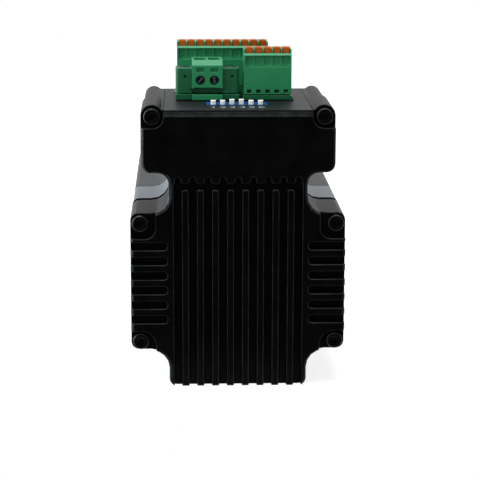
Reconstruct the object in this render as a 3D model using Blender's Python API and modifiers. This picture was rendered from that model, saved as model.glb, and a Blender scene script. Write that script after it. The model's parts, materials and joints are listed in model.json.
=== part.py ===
"""Stepper motor with its driver built on behind: a finned rear cover, a terminal bump with pluggable
connectors and a switch row, and the motor that carries them.

Seen from behind, +X is right, +Y runs along the shaft towards its driving end and +Z is up. The part
stands on its lower flats, with the origin under the middle of its length.
"""

import math

import bmesh
import bpy
from mathutils import Matrix, Vector

# Clearances
GAP = 0.0003  # between neighbouring pieces
SLIP = 0.00015  # each side of a piece that slides or turns in a hole
PAST = 0.001  # how far a cutter runs past the face it opens
SINK = 0.0005  # how deep a joined shape starts inside its base

# Motor frame, 57 mm flange size
MOTOR_SIDE = 0.0569
NOTCH_WIDTH = 0.01025  # corner notch, in from the frame's side
NOTCH_HEIGHT = 0.00995  # and down from its top
NOTCH_RADIUS = 0.005
OUTER_CORNER = 0.0014
BELL_LENGTH = 0.019
STACK_LENGTH = 0.064
NOSE_LENGTH = 0.011  # front end bell, behind its flange
FLANGE_THICK = 0.005
FLANGE_CORNER = 0.0045
FLANGE_PROUD = 0.0003  # how far it stands out past the bell behind it
BOLT_EDGE = 0.00488  # from a bolt hole to the flange's edge
BOLT_HOLE = 0.0051
PILOT_DIAMETER = 0.0381
PILOT_HEIGHT = 0.0016
END_WALL = 0.0045  # end bell wall beyond its bearing
TIE_EDGE = 0.01135  # from the frame's side to a long screw that holds the motor together
TIE_SHANK = 0.003
TIE_WALL = 0.001  # between a long screw's hole and the winding slots
TIE_HEAD = 0.0055
TIE_HEAD_HEIGHT = 0.003
TIE_GRIP = 0.006  # thread in the front end bell

# Rotor and shaft
SHAFT_DIAMETER = 0.008
SHAFT_REACH = 0.0206  # past the flange
SHAFT_FLAT_LENGTH = 0.015
SHAFT_FLAT_DEPTH = 0.0005
SHAFT_CHAMFER = 0.0005
TAIL_DIAMETER = 0.006
COLLAR_DIAMETER = 0.011
FRONT_BEARING_DIAMETER = 0.022
FRONT_BEARING_WIDTH = 0.007
REAR_BEARING_DIAMETER = 0.019
REAR_BEARING_WIDTH = 0.006
RACE_STEP = 0.0006  # how deep the shields lie
ROTOR_DIAMETER = 0.0285
ROTOR_TEETH = 50
TOOTH_DEPTH = 0.0008
MAGNET_LENGTH = 0.004
AIR_GAP = 0.0004
POLES = 8
POLE_WIDTH = 0.0058
POLE_SHOE = 0.0019
COIL_ROOM = 0.0001  # round the windings, in both end bells
COIL_WALL = 0.0055
COIL_OVERHANG = 0.0042

# Rear cover
COVER_DEPTH = 0.024
COVER_PROUD = 0.0002  # how far it stands out past the motor
COVER_CORNER = 0.002
COVER_BACK = 0.0052  # back plate with its fins
COVER_WALL = 0.0024
COVER_ROUND = 0.0008
BROW_ROUND = 0.0014  # along the top edge, between the bosses
FIN_PITCH = 0.004
FIN_WIDTH = 0.0017  # at its tip
FIN_DRAFT = 0.0002  # each side, out to its root
FIN_DEPTH = 0.0022
FIN_ROUND = 0.0006
FIN_STOP = 0.00325  # from the frame's top down to the fins, under the cross slot
CROSS_SLOT = 0.0016
GROOVE_RUN_OUT = 0.0018  # above the cross slot
LAND_WIDTH = 0.0023  # between the grooves, above the cross slot
WING_PITCH = 0.004
WING_GROOVE = 0.0021
WING_DEPTH = 0.002
WING_REACH = 0.0072  # in from the screws
POCKET_DEPTH = 0.0022
POCKET_REACH = 0.0041  # from the screw to the pocket's inner walls
POCKET_LOW_REACH = 0.0028  # up from a lower screw
POCKET_ROUND = 0.0028
POCKET_LOW_ROUND = 0.004
POST_RADIUS = 0.0022
POST_X = 0.0125
POST_Z = 0.0195

# Terminal bump
BUMP_WIDTH = 0.0514
BUMP_CLEAR = 0.00125  # underside, above the frame's top
BUMP_CORNER = 0.0023
BUMP_SWEEP = 0.003  # hollow curve from the bump down to the waist
HOUSING_STEP = 0.0005  # how far the housing is set in from the cover
HOUSING_LENGTH = 0.0232
BUMP_HEIGHT = 0.0166  # from the underside to the panel's top face
PANEL_THICK = 0.0016
PANEL_WIDTH = 0.0386
PANEL_MARGIN = 0.0008  # from the cover's rear face
PANEL_FAR_MARGIN = 0.001  # from the housing's far end
PANEL_LEDGE = 0.002
BOSS_RADIUS = 0.003
BOSS_RISE = 0.0013  # above the panel

# Cover screws
SCREW_HEAD = 0.0043
SCREW_HEAD_HEIGHT = 0.0016
SCREW_SHANK = 0.0025
SCREW_GRIP = 0.008
SCREW_SOCKET = 0.002
SCREW_SOCKET_DEPTH = 0.001
SCREW_EDGE = 0.00245  # from the frame's side
SCREW_INSET = 0.0024  # from a tab's end

# Boards
BOARD_THICK = 0.0016
BOARD_DROP = 0.004  # terminal board below the panel's top face
BOARD_EDGE = 0.0006  # from the walls round it
DRIVER_BOARD_Y = 0.0135
DRIVER_BOARD_RISE = 0.0065  # above the bump's underside
PAD_WIDTH = 0.018
PAD_HEIGHT = 0.014
LINK_WIDTH = 0.020
LINK_DEPTH = 0.0025

# Push-in plugs and their headers
PIN_PITCH = 0.0025
PLUG_END = 0.00025  # each end, beyond the pitch
PLUG_DEPTH = 0.0085
PLUG_HEIGHT = 0.0122
PLUG_PLATE = 0.0074  # height of the plain front plate
PLUG_RECESS = 0.003  # ribbed row above it
PLUG_RECESS_DEPTH = 0.0005
PLUG_RELIEF = 0.0002  # of the ribs in the row
PLUG_RIB = 0.0005
PLUG_CHEEK = 0.0007  # end walls of the ribbed row
PLUG_LIP = 0.0007
PLUG_SLOPE = 0.0005  # of the lip, back towards the buttons
PLUG_WALL = 0.0012
PLUG_GRIP = 0.0046  # depth of the header in the plug
WINDOW_WIDTH = 0.0012
WINDOW_HEIGHT = 0.001
WINDOW_RISE = 0.0003
BUTTON_WIDTH = 0.0018
BUTTON_DEPTH = 0.0028
BUTTON_HEIGHT = 0.004
BUTTON_RISE = 0.0005  # above the partitions
BUTTON_SET_BACK = 0.0011
BUTTON_ROUND = 0.0004
BUTTON_TRAVEL = 0.0012
WIRE_HOLE = 0.0017
WIRE_DEPTH = 0.006
HEADER_FLARE = 0.0007  # wider than the plug, each side
IO_PINS = 10
IO_X = -0.0033
IO_Y = 0.0350
IO_FOOT = 0.0017
BUS_PINS = 5
BUS_X = 0.0086
BUS_Y = 0.0194
BUS_FOOT = 0.0012

# Power plug, 3.81 mm pitch, held by a screw at each end
POWER_X = -0.0078
POWER_Y = 0.0186
POWER_PITCH = 0.00381
POWER_POLES = 2
POWER_END = 0.00035
POWER_DEPTH = 0.0108
POWER_HEIGHT = 0.0089
POWER_SLOPE = 0.0013
POWER_SLOPE_DEPTH = 0.0011
POWER_FOOT = 0.0015
CLAMP_HOLE = 0.0026
CLAMP_SCREW = 0.0022
CLAMP_RISE = 0.0036
CLAMP_SET_BACK = 0.0005
CLAMP_LENGTH = 0.004
SLOT_WIDTH = 0.0005
SLOT_DEPTH = 0.0005
DENT_WIDTH = 0.002
DENT_HEIGHT = 0.001
DENT_RISE = 0.0059
DENT_DEPTH = 0.0006
ENTRY_WIDTH = 0.0032
ENTRY_LENGTH = 0.0062
ENTRY_DEPTH = 0.0034
ENTRY_CORNER = 0.0008
ARCH_HEIGHT = 0.0016  # of the open row under the clamps
ARCH_CORNER = 0.0007
ARCH_DEPTH = 0.0022
EAR_WIDTH = 0.0045
EAR_HEIGHT = 0.0067
EAR_ROUND = 0.0011
EAR_SET_BACK = 0.0012
EAR_DEPTH = 0.0072
EAR_PEEP = 0.0009
EAR_PEEP_RISE = 0.0045
EAR_PEEP_SHIFT = 0.0004
EAR_SCREW_HEAD = 0.0031
EAR_SCREW_SHANK = 0.002
EAR_SCREW_SINK = 0.0012
EAR_SCREW_HEAD_HEIGHT = 0.001
EAR_SCREW_GRIP = 0.0011

# Switch row
SWITCH_WAYS = 6
SWITCH_PITCH = 0.00254
SWITCH_END = 0.0006
SWITCH_DEPTH = 0.0062
SWITCH_RISE = 0.0001
SWITCH_Y = 0.0133
SLIDER_WIDTH = 0.0016
SLIDER_LENGTH = 0.0018
SLIDER_HEIGHT = 0.0029
SLIDER_RISE = 0.0012
SLIDER_TRAVEL = 0.002
SLIDER_ROUND = 0.0004
SLIDERS_SET = (3, 4)  # the ones pushed away from the rear face

# Rounding
ARC_STEPS = 4
SMALL_ARC_STEPS = 2
ROUND_STEPS = 32
SMALL_STEPS = 16

# Sizes that follow from the ones above
MOTOR_HALF = MOTOR_SIDE / 2
TAB_HALF = MOTOR_HALF - NOTCH_HEIGHT
WAIST_HALF = MOTOR_HALF - NOTCH_WIDTH
BOLT_SQUARE = MOTOR_SIDE - 2 * BOLT_EDGE
TIE_SQUARE = MOTOR_SIDE - 2 * TIE_EDGE
SLOT_BOTTOM = math.sqrt(2) * TIE_SQUARE - TIE_SHANK - 2 * GAP - 2 * TIE_WALL
WINDING_BORE = SLOT_BOTTOM + 2 * COIL_ROOM
SCREW_X = MOTOR_HALF - SCREW_EDGE
SCREW_Z = TAB_HALF - SCREW_INSET
FIN_TOP = MOTOR_HALF - FIN_STOP
FIN_GROOVES = int(2 * WAIST_HALF / FIN_PITCH)
WING_INNER = SCREW_X - WING_REACH
WING_GROOVES = round(2 * (SCREW_Z - POCKET_REACH) / WING_PITCH)
BUMP_FLOOR = MOTOR_HALF + BUMP_CLEAR
PANEL_HEIGHT = BUMP_FLOOR + BUMP_HEIGHT
COVER_HALF = MOTOR_HALF + COVER_PROUD
BUMP_HALF = BUMP_WIDTH / 2
BOSS_X = BUMP_HALF - BOSS_RADIUS
BOSS_Z = PANEL_HEIGHT + BOSS_RISE - BOSS_RADIUS
BELL_Y = COVER_DEPTH + GAP
STACK_Y = BELL_Y + BELL_LENGTH + GAP
NOSE_Y = STACK_Y + STACK_LENGTH + GAP
FLANGE_Y = NOSE_Y + NOSE_LENGTH
FACE_Y = FLANGE_Y + FLANGE_THICK
SHAFT_END = FACE_Y + SHAFT_REACH
HOUSING_END = BELL_Y + HOUSING_LENGTH
PANEL_LENGTH = HOUSING_END - PANEL_MARGIN - PANEL_FAR_MARGIN
BOARD_TOP = PANEL_HEIGHT - BOARD_DROP
FOOT_LOW = PANEL_HEIGHT + GAP

root = None
parts = None
cutters = None


def clear_scene():
    for obj in list(bpy.data.objects):
        bpy.data.objects.remove(obj, do_unlink=True)


def new_collection(name):
    collection = bpy.data.collections.new(name)
    bpy.context.scene.collection.children.link(collection)
    return collection


def material(name, colour, roughness, metallic=0.0):
    found = bpy.data.materials.get(name)
    if found:
        return found
    made = bpy.data.materials.new(name)
    made.use_nodes = True
    shader = made.node_tree.nodes["Principled BSDF"]
    shader.inputs["Base Color"].default_value = (*colour, 1.0)
    shader.inputs["Roughness"].default_value = roughness
    shader.inputs["Metallic"].default_value = metallic
    made.diffuse_color = (*colour, 1.0)
    return made


def black_casting():
    return material("black_casting", (0.018, 0.018, 0.02), 0.55, 0.3)


def bare_aluminium():
    return material("bare_aluminium", (0.55, 0.57, 0.6), 0.45, 0.9)


def dark_steel():
    return material("dark_steel", (0.09, 0.095, 0.1), 0.5, 0.8)


def bright_steel():
    return material("bright_steel", (0.6, 0.6, 0.62), 0.25, 1.0)


def black_screw():
    return material("black_screw", (0.03, 0.03, 0.033), 0.4, 0.8)


def green_plastic():
    return material("green_plastic", (0.02, 0.22, 0.09), 0.4)


def orange_plastic():
    return material("orange_plastic", (0.62, 0.13, 0.015), 0.4)


def blue_plastic():
    return material("blue_plastic", (0.02, 0.1, 0.38), 0.4)


def white_plastic():
    return material("white_plastic", (0.8, 0.8, 0.78), 0.4)


def board_laminate():
    return material("board_laminate", (0.02, 0.13, 0.06), 0.5)


def grey_pad():
    return material("grey_pad", (0.4, 0.42, 0.45), 0.8)


def coil_enamel():
    return material("coil_enamel", (0.45, 0.16, 0.05), 0.4, 0.5)


# Outlines, as points in the plane that the shape is drawn in


def arc(centre, radius, start, end, steps=ARC_STEPS):
    """Points along an arc, both ends included, with angles in degrees."""
    points = []
    for i in range(steps + 1):
        angle = math.radians(start + (end - start) * i / steps)
        points.append((centre[0] + radius * math.cos(angle), centre[1] + radius * math.sin(angle)))
    return points


def circle(centre, radius, steps):
    return arc(centre, radius, 0, 360, steps)[:-1]


def rectangle(left, low, right, high):
    return [(left, low), (right, low), (right, high), (left, high)]


def rounded_rectangle(left, low, right, high, radius):
    corners = (
        ((right - radius, low + radius), 270),
        ((right - radius, high - radius), 0),
        ((left + radius, high - radius), 90),
        ((left + radius, low + radius), 180),
    )
    return [p for centre, start in corners for p in arc(centre, radius, start, start + 90)]


def flipped(points, across):
    """The points mirrored across the first axis (x) or the second (z), and taken in reverse."""
    sign = (-1, 1) if across == "x" else (1, -1)
    return [(u * sign[0], v * sign[1]) for u, v in reversed(points)]


def notch_quarter(proud, rounding):
    """From a side tab up to the waist: outer corner, shoulder and the hollow round the flange bolt."""
    side = MOTOR_HALF + proud
    tab = TAB_HALF + proud
    waist = WAIST_HALF + proud
    hollow = NOTCH_RADIUS - proud
    corner = arc((side - rounding, tab - rounding), rounding, 0, 90)
    return corner + arc((waist + hollow, tab + hollow), hollow, 270, 180)


def motor_outline(proud=0.0):
    side = MOTOR_HALF + proud
    waist = WAIST_HALF + proud
    corner = arc((waist - OUTER_CORNER, side - OUTER_CORNER), OUTER_CORNER, 0, 90)
    upper = notch_quarter(proud, OUTER_CORNER) + corner
    right = flipped(upper, "z") + upper
    return right + flipped(right, "x")


def bump_side(width, waist, floor, hollow, boss_radius):
    """Right side of the bump, from the waist round its lower corner and up over the boss."""
    half = width / 2
    hollow = min(hollow, (half - waist) / 2)
    rounding = min(BUMP_CORNER, (half - waist) / 2 - GAP)
    sweep = arc((waist + hollow, floor - hollow), hollow, 180, 90)
    corner = arc((half - rounding, floor + rounding), rounding, 270, 360)
    dip = math.degrees(math.asin((PANEL_HEIGHT - BOSS_Z) / boss_radius))
    boss = arc((BOSS_X, BOSS_Z), boss_radius, 0, 180 - dip, 3 * ARC_STEPS)
    return sweep + corner + boss


def cover_outline():
    waist = WAIST_HALF + COVER_PROUD
    corner = arc((waist - COVER_CORNER, COVER_HALF - COVER_CORNER), COVER_CORNER, 0, 90)
    quarter = notch_quarter(COVER_PROUD, COVER_CORNER)
    lower = flipped(quarter + corner, "z")
    right = lower + quarter + bump_side(BUMP_WIDTH, waist, BUMP_FLOOR, BUMP_SWEEP, BOSS_RADIUS)
    return right + flipped(right, "x")


def housing_outline():
    low = MOTOR_HALF + GAP
    floor = BUMP_FLOOR + HOUSING_STEP
    hollow = min(BUMP_SWEEP, floor - low - GAP)
    width = BUMP_WIDTH - 2 * HOUSING_STEP
    right = [(WAIST_HALF, low)] + bump_side(width, WAIST_HALF, floor, hollow, BOSS_RADIUS - HOUSING_STEP)
    return right + flipped(right, "x")


def stepped_outline(steps):
    """A symmetric stack of blocks, given as (half width, low, high) from the bottom up."""
    right = []
    for half, low, high in steps:
        right += [(half, low), (half, high)]
    return right + flipped(right, "x")


def hollow_steps(inset=0.0):
    """Inside of the rear cover, which leaves solid corners for the screws."""
    wing = COVER_HALF - COVER_WALL - inset
    wing_high = SCREW_Z - SCREW_HEAD - inset
    middle = SCREW_X - SCREW_HEAD - inset
    middle_high = TAB_HALF - COVER_WALL - inset
    waist = WAIST_HALF - COVER_WALL - inset
    return wing, wing_high, middle, middle_high, waist


def cover_hollow():
    wing, wing_high, middle, middle_high, waist = hollow_steps()
    room = BUMP_HALF - COVER_WALL
    bump_low = BUMP_FLOOR + COVER_WALL
    neck = BOSS_X - BOSS_RADIUS - COVER_WALL / 3
    bump_high = BOSS_Z - BOSS_RADIUS - COVER_WALL / 3
    return stepped_outline(
        [
            (waist, COVER_WALL - COVER_HALF, -middle_high),
            (middle, -middle_high, -wing_high),
            (wing, -wing_high, wing_high),
            (middle, wing_high, middle_high),
            (waist, middle_high, bump_low),
            (room, bump_low, bump_high),
            (neck, bump_high, PANEL_HEIGHT - PANEL_THICK - COVER_WALL / 3),
        ]
    )


# Meshes


def mesh_of(obj):
    graph = bpy.context.evaluated_depsgraph_get()
    return bpy.data.meshes.new_from_object(obj.evaluated_get(graph))


def flat_cap(face):
    heights = [v.co.z for v in face.verts]
    return max(heights) - min(heights) < 1e-7


def weld(mesh, plain):
    """Joins the caps to the sides. A cap of a plain outline, one without holes, becomes a single face."""
    bm = bmesh.new()
    bm.from_mesh(mesh)
    bmesh.ops.remove_doubles(bm, verts=bm.verts, dist=1e-7)
    if plain:
        inner = [e for e in bm.edges if len(e.link_faces) == 2 and all(map(flat_cap, e.link_faces))]
        bmesh.ops.dissolve_edges(bm, edges=inner, use_verts=False)
    else:
        bmesh.ops.dissolve_degenerate(bm, edges=bm.edges, dist=1e-7)
        bmesh.ops.dissolve_limit(bm, angle_limit=0.001, verts=bm.verts, edges=bm.edges)
    bm.to_mesh(mesh)
    bm.free()
    return mesh


def turn_to(axis):
    """Matrix that lays a shape drawn in XY, and standing along Z, along another axis."""
    if axis == "Y":
        return Matrix.Rotation(math.radians(90), 4, "X")
    if axis == "X":
        return Matrix(((0, 0, 1, 0), (1, 0, 0, 0), (0, 1, 0, 0), (0, 0, 0, 1)))
    return Matrix.Identity(4)


def prism(loops, axis, start, length):
    """Mesh with a flat outline, drawn square to axis, from start for length. Inner loops are holes."""
    curve = bpy.data.curves.new("outline", "CURVE")
    curve.dimensions = "2D"
    curve.fill_mode = "BOTH"
    curve.extrude = length / 2
    for points in loops:
        spline = curve.splines.new("POLY")
        spline.points.add(len(points) - 1)
        for point, (u, v) in zip(spline.points, points):
            point.co = (u, v, 0, 1)
        spline.use_cyclic_u = True
    guide = bpy.data.objects.new("outline", curve)
    bpy.context.scene.collection.objects.link(guide)
    mesh = weld(mesh_of(guide), len(loops) == 1)
    bpy.data.objects.remove(guide)
    bpy.data.curves.remove(curve)
    middle = Vector((0, 0, 0))
    middle["XYZ".index(axis)] = start + length / 2
    mesh.transform(Matrix.Translation(middle) @ turn_to(axis))
    return mesh


def block(low, high):
    """Box mesh between two corners."""
    size = [b - a for a, b in zip(low, high)]
    middle = [(a + b) / 2 for a, b in zip(low, high)]
    bm = bmesh.new()
    bmesh.ops.create_cube(bm, size=1, matrix=Matrix.Translation(middle) @ Matrix.Diagonal((*size, 1)))
    mesh = bpy.data.meshes.new("block")
    bm.to_mesh(mesh)
    bm.free()
    return mesh


def turned(profile, axis, closed=False, steps=ROUND_STEPS):
    """Mesh turned about axis from (radius, height) points that run down the outer side."""
    mesh = bpy.data.meshes.new("profile")
    count = len(profile)
    edges = [(i, i + 1) for i in range(count - 1)] + ([(count - 1, 0)] if closed else [])
    mesh.from_pydata([(r, 0, h) for r, h in profile], edges, [])
    guide = bpy.data.objects.new("profile", mesh)
    bpy.context.scene.collection.objects.link(guide)
    screw = guide.modifiers.new("Turn", "SCREW")
    screw.steps = screw.render_steps = steps
    screw.use_merge_vertices = True
    screw.merge_threshold = 1e-6
    result = mesh_of(guide)
    bpy.data.objects.remove(guide)
    bpy.data.meshes.remove(mesh)
    if axis == "Y":
        result.transform(Matrix.Rotation(math.radians(-90), 4, "X"))
    return result


def cylinder(centre, radius, axis, start, length, steps=SMALL_STEPS):
    return prism([circle(centre, radius, steps)], axis, start, length)


def joined(meshes):
    """One mesh holding several separate shapes, for a cutter."""
    bm = bmesh.new()
    for mesh in meshes:
        bm.from_mesh(mesh)
        bpy.data.meshes.remove(mesh)
    result = bpy.data.meshes.new("cutter")
    bm.to_mesh(result)
    bm.free()
    return result


def moved(mesh, offset):
    mesh.transform(Matrix.Translation(offset))
    return mesh


# Objects


def add_part(name, mesh, look, location=(0, 0, 0), smooth=False):
    mesh.name = name
    mesh.materials.clear()
    mesh.materials.append(look)
    obj = bpy.data.objects.new(name, mesh)
    obj.location = location
    obj.parent = root
    parts.objects.link(obj)
    if smooth:
        mesh.shade_smooth()
        mesh.set_sharp_from_angle(angle=math.radians(40))
    return obj


def boolean(obj, mesh, operation="DIFFERENCE"):
    """Cuts the mesh out of obj, or joins it on. The helper stays in the cutters collection."""
    name = f"{obj.name}_{operation.lower()}_{len(obj.modifiers)}"
    helper = bpy.data.objects.new(name, mesh)
    helper.parent = root
    helper.location = obj.location
    helper.hide_render = True
    helper.display_type = "WIRE"
    cutters.objects.link(helper)
    modifier = obj.modifiers.new(name, "BOOLEAN")
    modifier.operation = operation
    modifier.object = helper
    return modifier


def cut(obj, *meshes):
    return boolean(obj, joined(meshes) if len(meshes) > 1 else meshes[0])


def soften(obj, width, steps, weight_of):
    """Rounds the edges that weight_of(first, second) gives a share of the width to."""
    weights = obj.data.attributes.new("bevel_weight_edge", "FLOAT", "EDGE")
    points = obj.data.vertices
    for edge in obj.data.edges:
        first, second = (points[i].co for i in edge.vertices)
        weights.data[edge.index].value = weight_of(first, second)
    bevel = obj.modifiers.new("Rounding", "BEVEL")
    bevel.limit_method = "WEIGHT"
    bevel.width = width
    bevel.segments = steps
    bevel.use_clamp_overlap = False
    return bevel


def near(value, target):
    return abs(value - target) < 1e-6


# Motor


def make_rear_bell():
    look = bare_aluminium()
    obj = add_part("rear_bell", prism([motor_outline()], "Y", BELL_Y, BELL_LENGTH), look, smooth=True)
    seat_y = BELL_Y + END_WALL
    stack_side = BELL_Y + BELL_LENGTH
    seat_radius = REAR_BEARING_DIAMETER / 2 + GAP
    seat_end = seat_y + REAR_BEARING_WIDTH + 2 * GAP
    winding = cylinder((0, 0), WINDING_BORE / 2, "Y", seat_end, stack_side - seat_end + PAST, ROUND_STEPS)
    cut(obj, winding)
    cut(obj, cylinder((0, 0), seat_radius, "Y", seat_y, stack_side - seat_y, ROUND_STEPS))
    cut(obj, cylinder((0, 0), COLLAR_DIAMETER / 2, "Y", BELL_Y - PAST, END_WALL + 2 * PAST))
    ties = [
        cylinder(place, TIE_SHANK / 2 + GAP, "Y", BELL_Y - PAST, BELL_LENGTH + 2 * PAST)
        for place in tie_places()
    ]
    heads = [
        cylinder(place, TIE_HEAD / 2 + GAP, "Y", BELL_Y - PAST, TIE_HEAD_HEIGHT + GAP + PAST)
        for place in tie_places()
    ]
    threads = [
        cylinder(place, SCREW_SHANK / 2 + SLIP, "Y", BELL_Y - PAST, SCREW_GRIP + GAP + PAST)
        for place in cover_screw_places()[:4]
    ]
    cut(obj, *ties)
    cut(obj, *heads)
    cut(obj, *threads)


def tie_places():
    half = TIE_SQUARE / 2
    return [(x * half, z * half) for x in (-1, 1) for z in (1, -1)]


def make_tie_screws():
    head_y = BELL_Y + GAP
    under_head = head_y + TIE_HEAD_HEIGHT
    tip = NOSE_Y + TIE_GRIP
    for i, (x, z) in enumerate(tie_places(), 1):
        profile = [
            (0, tip),
            (TIE_SHANK / 2, tip),
            (TIE_SHANK / 2, under_head),
            (TIE_HEAD / 2, under_head),
            (TIE_HEAD / 2, head_y),
            (0, head_y),
        ]
        mesh = turned(profile, "Y", steps=SMALL_STEPS)
        obj = add_part(f"tie_screw_{i}", mesh, bright_steel(), (x, 0, z), smooth=True)
        socket = circle((0, 0), SCREW_SOCKET / 2, 6)
        cut(obj, prism([socket], "Y", head_y - PAST, SCREW_SOCKET_DEPTH + PAST))


def stator_bore():
    """Eight toothed poles between the winding slots, drawn as one closed line."""
    face = ROTOR_DIAMETER / 2 + AIR_GAP
    slot = SLOT_BOTTOM / 2
    neck = POLE_WIDTH / 2
    shoe_radius = face + POLE_SHOE
    shoe_half = math.degrees(0.39 * 2 * math.pi / POLES)
    neck_out = math.degrees(math.asin(neck / slot))
    neck_in = math.degrees(math.asin(neck / shoe_radius))
    pitch = 360 / POLES
    points = []
    for i in range(POLES):
        middle = pitch * i
        points += arc((0, 0), shoe_radius, middle - neck_in, middle - shoe_half, 1)
        points += arc((0, 0), face, middle - shoe_half, middle + shoe_half, 5)
        points += arc((0, 0), shoe_radius, middle + shoe_half, middle + neck_in, 1)
        points += arc((0, 0), slot, middle + neck_out, middle + pitch - neck_out, 3)
    return points


def make_stator_stack():
    ties = [circle(place, TIE_SHANK / 2 + GAP, SMALL_STEPS) for place in tie_places()]
    mesh = prism([motor_outline(), stator_bore(), *ties], "Y", STACK_Y, STACK_LENGTH)
    add_part("stator_stack", mesh, dark_steel(), smooth=True)


def make_windings():
    """The coil ends that stand out of the stack into each end bell."""
    outer = SLOT_BOTTOM / 2 - GAP
    inner = outer - COIL_WALL
    for name, low, high in (
        ("winding_rear", STACK_Y - GAP - COIL_OVERHANG, STACK_Y - GAP),
        ("winding_front", NOSE_Y, NOSE_Y + COIL_OVERHANG),
    ):
        edge = COIL_WALL / 4
        profile = [
            (inner + edge, high),
            (outer - edge, high),
            (outer, high - edge),
            (outer, low + edge),
            (outer - edge, low),
            (inner + edge, low),
            (inner, low + edge),
            (inner, high - edge),
        ]
        add_part(name, turned(profile, "Y", closed=True), coil_enamel(), smooth=True)


def make_front_flange():
    look = bare_aluminium()
    nose = prism([motor_outline(-FLANGE_PROUD)], "Y", NOSE_Y, NOSE_LENGTH + SINK)
    obj = add_part("front_flange", nose, look, smooth=True)
    half = MOTOR_HALF
    plate = rounded_rectangle(-half, -half, half, half, FLANGE_CORNER)
    boolean(obj, prism([plate], "Y", FLANGE_Y, FLANGE_THICK), "UNION")
    pilot = cylinder((0, 0), PILOT_DIAMETER / 2, "Y", FACE_Y - SINK, PILOT_HEIGHT + SINK, ROUND_STEPS)
    boolean(obj, pilot, "UNION")
    seat_end = FACE_Y - END_WALL + PILOT_HEIGHT
    seat_y = seat_end - FRONT_BEARING_WIDTH - 2 * GAP
    seat = cylinder((0, 0), FRONT_BEARING_DIAMETER / 2 + GAP, "Y", NOSE_Y, seat_end - NOSE_Y, ROUND_STEPS)
    cut(obj, cylinder((0, 0), WINDING_BORE / 2, "Y", NOSE_Y - PAST, seat_y - NOSE_Y + PAST, ROUND_STEPS))
    cut(obj, seat)
    mouth = cylinder((0, 0), COLLAR_DIAMETER / 2, "Y", seat_end - PAST, END_WALL + PILOT_HEIGHT + PAST)
    cut(obj, mouth)
    bolt = BOLT_SQUARE / 2
    holes = [
        cylinder((x * bolt, z * bolt), BOLT_HOLE / 2, "Y", FLANGE_Y - PAST, FLANGE_THICK + 2 * PAST)
        for x in (-1, 1)
        for z in (-1, 1)
    ]
    cut(obj, *holes)
    threads = [
        cylinder(place, TIE_SHANK / 2 + SLIP, "Y", NOSE_Y - PAST, TIE_GRIP + GAP + PAST)
        for place in tie_places()
    ]
    cut(obj, *threads)


def front_bearing_y():
    return FACE_Y - END_WALL + PILOT_HEIGHT - GAP - FRONT_BEARING_WIDTH


def rear_bearing_y():
    return BELL_Y + END_WALL + GAP


def make_bearing(name, bore, diameter, low, width):
    """Ball bearing as one ring, with its shields set in between the two races."""
    outer, inner = diameter / 2, bore / 2 + GAP / 2
    race = (outer - inner) / 4
    high = low + width
    profile = [
        (inner, high),
        (inner + race, high),
        (inner + race, high - RACE_STEP),
        (outer - race, high - RACE_STEP),
        (outer - race, high),
        (outer, high),
        (outer, low),
        (outer - race, low),
        (outer - race, low + RACE_STEP),
        (inner + race, low + RACE_STEP),
        (inner + race, low),
        (inner, low),
    ]
    add_part(name, turned(profile, "Y", closed=True), bright_steel(), smooth=True)


def make_bearings():
    rear_y, front_y = rear_bearing_y(), front_bearing_y()
    make_bearing("rear_bearing", TAIL_DIAMETER, REAR_BEARING_DIAMETER, rear_y, REAR_BEARING_WIDTH)
    make_bearing("front_bearing", SHAFT_DIAMETER, FRONT_BEARING_DIAMETER, front_y, FRONT_BEARING_WIDTH)


def rotor_span():
    """Where the rotor starts and how long each toothed half is."""
    start = STACK_Y
    half = (STACK_LENGTH - MAGNET_LENGTH) / 2 - GAP
    return start, half


def make_shaft():
    tail_y = BELL_Y + END_WALL / 2
    collar_y = rear_bearing_y() + REAR_BEARING_WIDTH + GAP
    start, half = rotor_span()
    collar_end = front_bearing_y() - GAP
    radius, tail, collar = SHAFT_DIAMETER / 2, TAIL_DIAMETER / 2, COLLAR_DIAMETER / 2
    rotor_end = start + 2 * half + MAGNET_LENGTH + 2 * GAP
    profile = [
        (0, SHAFT_END),
        (radius - SHAFT_CHAMFER, SHAFT_END),
        (radius, SHAFT_END - SHAFT_CHAMFER),
        (radius, collar_end),
        (collar, collar_end),
        (collar, rotor_end + GAP),
        (radius, rotor_end + GAP),
        (radius, start - GAP),
        (collar, start - GAP),
        (collar, collar_y),
        (tail, collar_y),
        (tail, tail_y),
        (0, tail_y),
    ]
    obj = add_part("motor_shaft", turned(profile, "Y"), bright_steel(), smooth=True)
    flat = block(
        (-radius - PAST, SHAFT_END - SHAFT_FLAT_LENGTH, radius - SHAFT_FLAT_DEPTH),
        (radius + PAST, SHAFT_END + PAST, radius + PAST),
    )
    cut(obj, flat)


def rotor_teeth(turn):
    """Fifty square teeth, turned by a share of a tooth so that the two halves stand out of step."""
    outer = ROTOR_DIAMETER / 2
    root_radius = outer - TOOTH_DEPTH
    pitch = 360 / ROTOR_TEETH
    points = []
    for i in range(ROTOR_TEETH):
        middle = (i + turn) * pitch
        points += arc((0, 0), outer, middle - pitch * 0.2, middle + pitch * 0.2, 1)
        points += arc((0, 0), root_radius, middle + pitch * 0.3, middle + pitch * 0.7, 1)
    return points


def make_rotor():
    start, half = rotor_span()
    bore = circle((0, 0), SHAFT_DIAMETER / 2 + GAP, ROUND_STEPS)
    magnet_y = start + half + GAP
    front_y = magnet_y + MAGNET_LENGTH + GAP
    add_part("rotor_core_rear", prism([rotor_teeth(0), bore], "Y", start, half), dark_steel())
    add_part("rotor_core_front", prism([rotor_teeth(0.5), bore], "Y", front_y, half), dark_steel())
    ring = circle((0, 0), ROTOR_DIAMETER / 2 - 2 * TOOTH_DEPTH, ROUND_STEPS)
    add_part("rotor_magnet", prism([ring, bore], "Y", magnet_y, MAGNET_LENGTH), grey_pad(), smooth=True)


# Driver housing


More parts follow.
